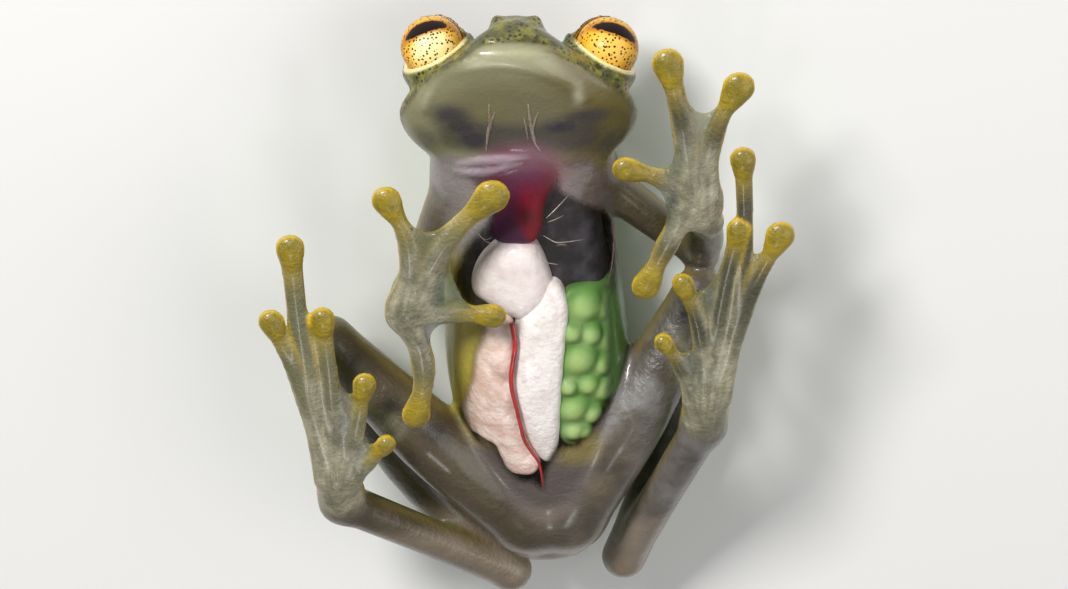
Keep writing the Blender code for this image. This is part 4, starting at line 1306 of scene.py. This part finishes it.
def paint_eye(pieces):
    """Golden iris, dark pupil, brown specks, and a painted glare on the lower half"""
    paint = Paint("frog_eye")
    mark, mix, step = paint.mark, paint.mix, paint.step
    along, across, ahead = mark("along"), mark("across"), mark("ahead")
    long, high = along / PUPIL_SIZE[0], across / PUPIL_SIZE[1]
    ragged = (paint.noise(3.5) - 0.5) * 0.6
    pupil = long * long + high * high + ragged
    outside = step(pupil, 0.9, 1.15)
    # Painted glare: a pale reflection on the lower half of the iris, scaled by each eye's glare strength
    middle, side_on = (across + 0.55) / 0.42, along / 0.7
    glare = middle * middle + side_on * side_on + (paint.noise(2.2) - 0.5) * 0.8
    iris = mix(step(paint.noise(1.6), 0.35, 0.7), IRIS_GOLD, IRIS_ORANGE)
    iris = mix(step(ahead, 0.75, 0.1) * 0.6, IRIS_GOLD, iris)
    iris = mix(step(glare, 1.5, 0.1) * mark("glow"), iris, IRIS_GLARE)
    iris = mix(step(pupil, 2.6, 1.1) * 0.75, iris, IRIS_ORANGE)
    specks = step(paint.cells(7.0) + paint.noise(3.0) * 0.1, 0.3, 0.46)
    iris = mix(specks, IRIS_SPECK, iris)
    iris = mix(outside, PUPIL_DARK, iris)
    shader = paint.shader.inputs
    shader["Coat Weight"].default_value = 0.45
    shader["Coat Roughness"].default_value = 0.03
    shader["Coat IOR"].default_value = 1.3
    shader["Specular IOR Level"].default_value = 0.1
    for piece in pieces:
        paint.finish(piece, Base_Color=iris, Roughness=0.35,
                     Normal=paint.bump(paint.noise(6.0), 0.2, 0.02))


def make_eyes():
    """Both eyeballs in the head's frame"""
    eyes = []
    for side, sign in SIDES:
        centre = from_head(mirrored(EYE_PLACE, sign))
        axis, line = (HEAD_TURN @ mirrored(vector, sign) for vector in (PUPIL_AXIS, PUPIL_LINE))
        points, triangles, basis = ball_grid(centre, EYE_RADIUS, axis, line)
        eye = make_piece("eyeball_" + side, points, triangles)
        offset = (points - centre) / EYE_RADIUS
        for name, direction, turn in zip(("ahead", "along", "across"), basis, (1, 1, sign)):
            mark(eye, name, offset @ direction * turn)
        mark(eye, "glow", np.full(len(points), GLARE_STRENGTH[side]))
        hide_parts("eye_" + side)
        eyes.append(eye)
    return eyes


eyes = make_eyes()
paint_eye(eyes)


# %% Lid rims
def sweep(line, radii, sides=8, closed=False):
    """A tube round a line of places: rings square to the line, joined to the next ring"""
    line, radii = np.asarray(line), np.broadcast_to(radii, len(line))
    ahead = np.roll(line, -1, axis=0) - np.roll(line, 1, axis=0)
    if not closed:
        ahead[0], ahead[-1] = line[1] - line[0], line[-1] - line[-2]
    ahead /= np.linalg.norm(ahead, axis=1, keepdims=True)
    up = np.where(np.abs(ahead[:, 2:]) > 0.9, (1.0, 0.0, 0.0), (0.0, 0.0, 1.0))
    across = np.cross(ahead, up)
    across /= np.linalg.norm(across, axis=1, keepdims=True)
    beside = np.cross(ahead, across)
    angle = np.linspace(0.0, 2 * math.pi, sides, endpoint=False)[None, :, None]
    ring = across[:, None] * np.cos(angle) + beside[:, None] * np.sin(angle)
    points = (line[:, None] + radii[:, None, None] * ring).reshape(-1, 3)
    count = len(line) if closed else len(line) - 1
    row, column = np.meshgrid(np.arange(count), np.arange(sides), indexing="ij")
    next_row, next_column = (row + 1) % len(line), (column + 1) % sides
    quads = np.stack([row * sides + column, row * sides + next_column,
                      next_row * sides + next_column, next_row * sides + column], axis=-1)
    quads = quads.reshape(-1, 4)
    triangles = np.vstack([quads[:, [0, 1, 2]], quads[:, [0, 2, 3]]])
    if not closed:
        ends = np.arange(1, sides - 1)
        start = np.stack([np.zeros(sides - 2, int), ends + 1, ends], axis=1)
        stop = start[:, ::-1] + (len(line) - 1) * sides
        triangles = np.vstack([triangles, start, stop])
    return points, triangles


def join_parts(parts):
    """Several meshes as one set of points and faces"""
    count = np.cumsum([0] + [len(points) for points, _ in parts])
    return (np.vstack([points for points, _ in parts]),
            np.vstack([faces + start for (_, faces), start in zip(parts, count)]))


def plain_paint(name, pieces, colour, second, per_mm, roughness=0.3, coat=0.8, bump=0.3):
    """A wet finish of two colours in clouds"""
    paint = Paint(name)
    share = paint.step(paint.noise(per_mm), 0.35, 0.65)
    paint.shader.inputs["Coat Weight"].default_value = coat
    paint.shader.inputs["Coat Roughness"].default_value = 0.08
    for piece in pieces:
        paint.finish(piece, Base_Color=paint.mix(share, colour, second), Roughness=roughness,
                     Normal=paint.bump(paint.noise(per_mm * 3, detail=4.0), bump, 0.08))
    return paint


lines = [lid_edge(sign, EYE_RADIUS + 0.06) for _, sign in SIDES]
rims = make_piece("lid_rims", *join_parts([sweep(line, 0.02 + 0.04 * lower_lid(line.T), closed=True)
                                           for line in lines]))
mark(rims, "low", lower_lid(places_of(rims)))


def paint_rims(piece):
    """Cream along the lower lid, dark olive along the upper one"""
    paint = Paint("lid_rim")
    cream = paint.mix(paint.step(paint.noise(1.5), 0.35, 0.65), LID_CREAM, linear(214, 204, 120))
    paint.shader.inputs["Coat Weight"].default_value = 0.6
    paint.finish(piece, Base_Color=paint.mix(paint.mark("low"), IRIS_ORANGE, cream), Roughness=0.3)


paint_rims(rims)

# %% [markdown]
# ## Organs
#
# Each organ is a cushion: the belly skin's own height drawn in a little, cut to an outline on
# the floor plan and rounded at its edge. Lumps on the gut and balls for the eggs are added to
# such cushions. Behind them a dark lining closes the hollow of the body.

# %% Outlines of the organs
HEART = (
    (-1.37, 3.4), (-0.65, 3.3), (0.12, 3.35), (0.44, 3.91), (0.56, 4.65), (0.8, 5.24), (1.16, 5.76),
    (1.36, 6.28), (1.23, 6.85), (0.61, 7.28), (-0.39, 7.46), (-1.4, 7.33), (-2.07, 6.95),
    (-2.35, 6.33), (-2.15, 5.68), (-1.7, 5.2), (-1.59, 4.46), (-1.51, 3.81),
)
LIVER = (
    (-1.26, 3.28), (-0.64, 3.43), (0.03, 3.27), (0.37, 2.69), (0.57, 2.03), (0.7, 1.42), (0.59, 0.91),
    (0.23, 0.47), (-0.19, 0.15), (-0.65, -0.01), (-1.0, 0.17), (-1.43, 0.4), (-1.98, 0.67),
    (-2.45, 0.93), (-2.54, 1.45), (-2.38, 2.06), (-2.06, 2.61), (-1.68, 2.98),
)
GUT_WHITE = (
    (0.74, 1.37), (1.09, 1.06), (1.21, 0.3), (1.06, -0.78), (0.87, -2.13), (0.71, -3.54),
    (0.62, -4.53), (0.53, -5.45), (0.42, -6.2), (0.15, -6.75), (-0.2, -6.3), (-0.6, -5.2),
    (-0.83, -4.03), (-0.94, -2.95), (-0.92, -1.91), (-0.83, -0.99), (-0.66, -0.18), (-0.22, 0.33),
    (0.29, 0.81),
)
GUT_PINK = (
    (-0.93, -0.01), (-1.46, 0.05), (-2.08, -0.26), (-2.55, -0.79), (-2.79, -1.43), (-2.92, -2.18),
    (-3.26, -3.27), (-3.52, -4.38), (-3.53, -5.35), (-3.27, -5.76), (-2.8, -5.79), (-2.28, -5.89),
    (-1.93, -6.21), (-1.71, -6.83), (-1.45, -7.28), (-0.97, -7.51), (-0.47, -7.38), (-0.16, -6.9),
    (-0.37, -6.28), (-0.67, -5.68), (-0.92, -4.85), (-1.02, -3.68), (-1.09, -2.71), (-1.07, -1.63),
    (-1.02, -0.85),
)
EGG_BED = (
    (1.25, 0.8), (2.0, 1.1), (3.0, 0.9), (4.1, 0.2), (4.3, -2.0), (4.2, -3.4), (3.5, -4.6),
    (2.8, -5.4), (2.0, -6.1), (1.1, -6.2), (0.68, -5.4), (0.72, -3.9), (0.9, -2.6), (1.08, -1.0),
)
# Lumps of the gut and eggs: place and radius
GUT_LUMPS = (
    (-1.93, -1.0, 0.95), (-2.35, -1.95, 0.7), (-1.36, -1.85, 0.6), (-2.0, -2.75, 0.75),
    (-2.75, -3.15, 0.62), (-1.6, -3.5, 0.68), (-2.35, -3.75, 0.6), (-2.99, -4.2, 0.62),
    (-2.2, -4.5, 0.58), (-1.6, -4.6, 0.6), (-2.95, -5.15, 0.6), (-2.2, -5.25, 0.6),
    (-1.44, -5.5, 0.62), (-1.2, -6.35, 0.65), (-1.3, -7.05, 0.45), (-0.65, -6.95, 0.5),
)
EGGS = (
    (1.95, 0.25, 0.8), (2.85, -0.15, 0.62), (3.42, -0.97, 0.49), (1.42, -0.75, 0.45),
    (2.2, -1.05, 0.48), (3.0, -1.6, 0.7), (3.56, -2.4, 0.42), (1.62, -2.05, 0.84),
    (2.6, -2.6, 0.5), (3.2, -3.0, 0.48), (1.15, -3.2, 0.4), (1.95, -3.3, 0.5),
    (2.5, -3.75, 0.58), (3.05, -4.0, 0.4), (1.25, -4.3, 0.76), (2.05, -4.8, 0.48),
    (1.25, -5.4, 0.5), (1.75, -5.6, 0.36),
)
SKIN_DEPTH = 0.17
ORGAN_CELL = 0.09

# %% Organs as clay


def cushion(corners, depth, round_edge, sink, grow=0.1):
    """The overlap of three: inside the grown outline, below the sink, above sink and depth"""
    line = closed_line(corners)

    def distance(point):
        plan = outline_distance(point[0], point[1], line) - grow
        under = belly_height(point[0], point[1]) - sink - point[2]
        return -soft_min(soft_min(-plan, under, round_edge), depth - under, 0.2)

    low = np.append(line.min(axis=0), 3.0)
    high = np.append(line.max(axis=0), 7.0)
    return Form(low, high, distance)


def lumps(rows, top, height=1.0):
    """Balls whose tops lie below the belly skin, drawn in where they would leave the flank"""
    rows = np.array(rows)
    x, y, radius = rows.T
    x = np.minimum(x, profile(TRUNK, 1, y) - radius - top)
    z = belly_height(x, y) - top - radius * height
    return [ball(place, (size, size, size * height)) for *place, size in zip(x, y, z, radius)]


def organ(name, bed, forms, blend, node, outline=None):
    """Add forms to a bed, trim them to an outline and below the skin, and make the piece"""
    low = np.minimum.reduce([form.low for form in (bed, *forms)]) - 0.3
    high = np.maximum.reduce([form.high for form in (bed, *forms)]) + 0.3
    clay = Clay(low, high, ORGAN_CELL).add(bed, *forms, blend=blend)
    point = clay.points((slice(None),) * 3)
    clay.field = -soft_min(-clay.field, -SKIN_DEPTH - trunk_distance(point), 0.1)
    if outline is not None:
        edge = outline_distance(point[0], point[1], closed_line(outline))
        clay.field = -soft_min(-clay.field, 0.1 - edge, 0.3)
    piece = refine(make_piece(name, *clay.skin()), 2)
    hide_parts(node)
    return piece


heart = organ("heart_organ", cushion(HEART, 1.4, 0.9, 0.25), (), 0.1, "heart")
liver = organ("liver_organ", cushion(LIVER, 1.6, 1.1, 0.2), (), 0.1, "liver")
stomach = organ("gut_white", cushion(GUT_WHITE, 1.4, 0.45, 0.24, 0.16), (), 0.1, "stomach")
intestine = organ("gut_pink", cushion(GUT_PINK, 1.2, 0.4, 0.36), lumps(GUT_LUMPS, 0.2, 0.6), 0.3,
                  "intestine", GUT_PINK)
eggs = organ("egg_cluster", cushion(EGG_BED, 1.4, 0.3, 0.56), lumps(EGGS, 0.24), 0.2, "eggs")
organs = (heart, liver, stomach, intestine, eggs)
print("organ triangles:", [2 * len(piece.data.polygons) for piece in organs])

# %% Colours of the organs
mark(heart, "high", ease(places_of(heart)[1], 4.3, 6.6))
mark(heart, "red", ease(places_of(heart)[0] + 0.25 * places_of(heart)[1], 0.0, 1.7))


def paint_heart(piece):
    """Violet on the frog's right, crimson on its left and at the tip, with clouds of both"""
    paint = Paint("heart_flesh")
    cloud = paint.noise(0.6) * 0.7 - paint.mark("high") * 0.25
    share = paint.step(cloud + paint.mark("red") * 0.8, 0.3, 0.9)
    colour = paint.mix(share, linear(62, 14, 54), linear(116, 0, 18))
    colour = paint.mix(paint.step(paint.noise(1.3), 0.5, 0.75) * 0.7, colour, linear(78, 8, 30))
    paint.shader.inputs["Specular IOR Level"].default_value = 0.15
    paint.finish(piece, Base_Color=colour, Roughness=0.5,
                 Normal=paint.bump(paint.noise(1.5, detail=4.0), 0.4, 0.1))


def paint_eggs(piece):
    """Green yolks with painted light on their tops, painted shade in the clefts between them, and darker
    toward the flank, partly painted shade
    """
    paint = Paint("egg_green")
    paint.shader.inputs["Coat Roughness"].default_value = 0.3
    colour = paint.mix(paint.mark("middle"), linear(92, 138, 56), linear(154, 182, 104))
    colour = paint.mix(paint.step(paint.noise(0.6), 0.4, 0.7) * 0.4, colour, linear(178, 196, 140))
    colour = paint.mix(paint.mark("cleft") * 0.8, colour, linear(56, 98, 28))
    colour = paint.mix(paint.mark("side") * 0.6, colour, linear(44, 90, 36))
    paint.shader.inputs["Coat Weight"].default_value = 0.1
    paint.finish(piece, Base_Color=colour, Roughness=0.6,
                 Normal=paint.bump(paint.noise(2.0, detail=4.0), 0.4, 0.08))


def lit_middle_of(piece, rows):
    """1 over the middle of each ball on the floor plan, 0 at its edge"""
    x, y, _ = places_of(piece)
    return np.maximum.reduce([1 - ease(np.hypot(x - row[0], y - row[1]) / row[2], 0.1, 1.0)
                              for row in rows])


def cleft_of(piece, rows, top):
    """How far each point lies below the tops of the balls next to it"""
    x, y, z = places_of(piece)
    return ease(belly_height(x, y) - top - z, 0.15, 0.55)


# Painted shade in the clefts, painted light on the eggs' tops, and a darker flank side that is partly
# painted shade
mark(eggs, "cleft", cleft_of(eggs, EGGS, 0.24))
mark(eggs, "middle", lit_middle_of(eggs, EGGS))
mark(eggs, "side", ease(places_of(eggs)[0], 2.2, 3.6))
paint_heart(heart)
paint_eggs(eggs)
plain_paint("liver_white", [liver], linear(228, 216, 212), linear(214, 198, 194), 1.2, 0.5, 0.3, 0.6)
plain_paint("gut_white", [stomach], linear(244, 236, 230), linear(226, 214, 208), 1.6, 0.5, 0.3, 0.8)
plain_paint("gut_pink", [intestine], linear(238, 216, 204), linear(216, 182, 166), 1.3, 0.5, 0.3, 0.9)

# %% Lining and vessels
VEIN = (
    (-0.96, 0.17), (-0.91, -0.27), (-0.9, -0.85), (-1.02, -1.54), (-1.14, -2.24), (-1.14, -2.86),
    (-1.02, -3.68), (-0.9, -4.54), (-0.78, -5.37), (-0.52, -6.01), (-0.26, -6.56), (-0.17, -7.12),
    (-0.12, -7.8), (-0.14, -8.38),
)
FLANK_VESSEL = ((3.38, 3.5), (3.41, 2.47), (3.26, 1.56), (3.0, 0.92))
# White threads in the skin of the chest and throat: radius, then places on the floor plan
THREADS = (
    (0.035, (1.63, 5.37), (1.28, 5.08), (0.94, 4.81), (0.68, 4.6)),
    (0.03, (1.38, 4.6), (1.04, 4.5), (0.71, 4.43)),
    (0.04, (0.52, 3.91), (0.79, 3.7), (1.07, 3.53), (1.6, 3.46), (2.13, 3.37)),
    (0.03, (0.49, 2.77), (0.77, 2.69), (1.05, 2.6)),
    (0.025, (1.02, 3.42), (1.26, 3.41), (1.46, 3.33)),
    (0.03, (-1.92, 3.66), (-1.68, 3.61), (-1.44, 3.6)),
    (0.035, (-2.14, 3.94), (-1.87, 3.71), (-1.54, 3.84)),
    (0.1, (-1.31, 10.16), (-1.34, 9.72), (-1.32, 9.16), (-1.43, 8.6), (-1.5, 8.05), (-1.57, 7.54)),
    (0.075, (-1.1, 9.71), (-1.24, 9.27), (-1.31, 8.71)),
    (0.1, (0.24, 10.08), (0.26, 9.63), (0.28, 9.18), (0.33, 8.49), (0.42, 7.9), (0.64, 7.43)),
    (0.07, (0.04, 9.31), (0.1, 8.74), (0.15, 8.07)),
    (0.07, (0.62, 9.6), (0.48, 9.16), (0.37, 8.6), (0.46, 7.94)),
)
# Rays start below the raised hands, so that they meet the belly and the throat
RAY_START = 7.0


def lining_distance(point):
    """The trunk drawn in by a third of a millimetre, with a flat top below the organs"""
    x, y, z = point
    top = belly_height(0.0, y) - 1.25
    return -soft_min(-(trunk_distance(point) + 0.35), -(z - top) + 0 * x, 0.5)


def make_lining():
    """The dark wall behind the organs"""
    clay = Clay((-3.9, -12.0, -0.2), (3.9, 8.6, 6.2), 0.2)
    clay.add(Form((-3.8, -11.5, -0.1), (3.8, 8.4, 6.0), lining_distance), blend=0.1)
    piece = refine(make_piece("belly_lining", *clay.skin()), 2)
    return piece


def belly_line(places, lift, count=60):
    """A smooth line over the belly, a lift above its skin"""
    line = curve(places, np.linspace(0.0, 1.0, count))
    return np.column_stack([line, belly_height(line[:, 0], line[:, 1]) + lift])


def skin_line(places, lift, count=16):
    """A smooth line on the skin: each place's height comes from a ray straight down"""
    line = np.column_stack([curve(places, np.linspace(0.0, 1.0, count)), np.full(count, RAY_START)])
    down = Vector((0.0, 0.0, -1.0))
    hits = np.array([skin.ray_cast(Vector(start), down)[1] for start in (line + SHIFT) * MM])
    return hits / MM - SHIFT + np.array((0.0, 0.0, lift))


def tapered(radius, count):
    """Radii that thin out toward both ends"""
    return 0.7 * radius * (0.25 + 0.75 * np.sin(np.linspace(0.1, math.pi - 0.1, count)))


lining = make_lining()
mark(lining, "low", ease(-places_of(lining)[1], 4.6, 6.4))


def paint_lining(piece):
    """Dark, wet and clouded, and olive grey toward the rump"""
    paint = Paint("lining_dark")
    cloud = paint.mix(paint.step(paint.noise(1.1), 0.38, 0.72), linear(28, 26, 27), linear(60, 56, 62))
    colour = paint.mix(paint.mark("low"), cloud, linear(96, 86, 60))
    paint.shader.inputs["Specular IOR Level"].default_value = 0.2
    paint.finish(piece, Base_Color=colour, Roughness=0.5,
                 Normal=paint.bump(paint.noise(1.5, detail=4.0), 0.5, 0.15))


paint_lining(lining)
vein = make_piece("vein_red", *sweep(belly_line(VEIN, -0.1), np.linspace(0.13, 0.05, 60), sides=10))
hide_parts("belly_vein")
flank = make_piece("flank_vessel", *sweep(belly_line(FLANK_VESSEL, -0.1), tapered(0.045, 60)))
plain_paint("vein_red", [vein], linear(184, 40, 36), linear(150, 30, 28), 2.0, 0.3)
plain_paint("vessel_brown", [flank], linear(112, 60, 54), linear(92, 56, 52), 2.0, 0.4)
threads = make_piece("skin_threads", *join_parts([sweep(skin_line(places, 0.01), tapered(radius, 16))
                                                  for radius, *places in THREADS]))
thread_paint = plain_paint("thread_white", [threads], linear(206, 190, 176), linear(170, 146, 134), 2.0)
thread_paint.shader.inputs["Alpha"].default_value = 0.4

# %% Floor and light
low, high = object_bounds()


def make_floor():
    """A wide pale sheet under the frog"""
    mesh = bpy.data.meshes.new("floor")
    reach = 1.5
    mesh.from_pydata([(-reach, -reach, 0), (reach, -reach, 0), (reach, reach, 0), (-reach, reach, 0)],
                     [], [(0, 1, 2, 3)])
    floor = bpy.data.objects.new("floor", mesh)
    floor.location.z = low.z - 0.00002
    bpy.context.scene.collection.objects.link(floor)
    material = bpy.data.materials.new("floor")
    material.use_nodes = True
    shader = material.node_tree.nodes["Principled BSDF"]
    shader.inputs["Base Color"].default_value = (0.72, 0.71, 0.69, 1)
    shader.inputs["Roughness"].default_value = 0.8
    mesh.materials.append(material)
    return floor


def area_light(name, place, size, power, colour=(1, 1, 1)):
    """A soft box that faces the frog"""
    data = bpy.data.lights.new(name, "AREA")
    data.shape, data.size, data.size_y = "RECTANGLE", size[0], size[1]
    data.energy, data.color = power, colour
    light = bpy.data.objects.new(name, data)
    light.location = place
    light.rotation_mode = "QUATERNION"
    light.rotation_quaternion = (-Vector(place)).to_track_quat("-Z", "Y")
    bpy.context.scene.collection.objects.link(light)
    return light


make_floor()
area_light("key", (-0.091, 0.182, 0.161), (0.06, 0.06), 0.8)
area_light("fill", (0.17, 0.0, 0.17), (0.2, 0.2), 0.25)
area_light("glint", (-0.02, -0.115, 0.215), (0.03, 0.03), 0.035)
world = bpy.data.worlds.new("studio")
bpy.context.scene.world = world
world.use_nodes = True
world.node_tree.nodes["Background"].inputs[0].default_value = (0.9, 0.92, 0.95, 1)
world.node_tree.nodes["Background"].inputs[1].default_value = 0.235
# Colours are shown as they are mixed, without the film curve that pales strong ones
bpy.context.scene.view_settings.view_transform = "Standard"
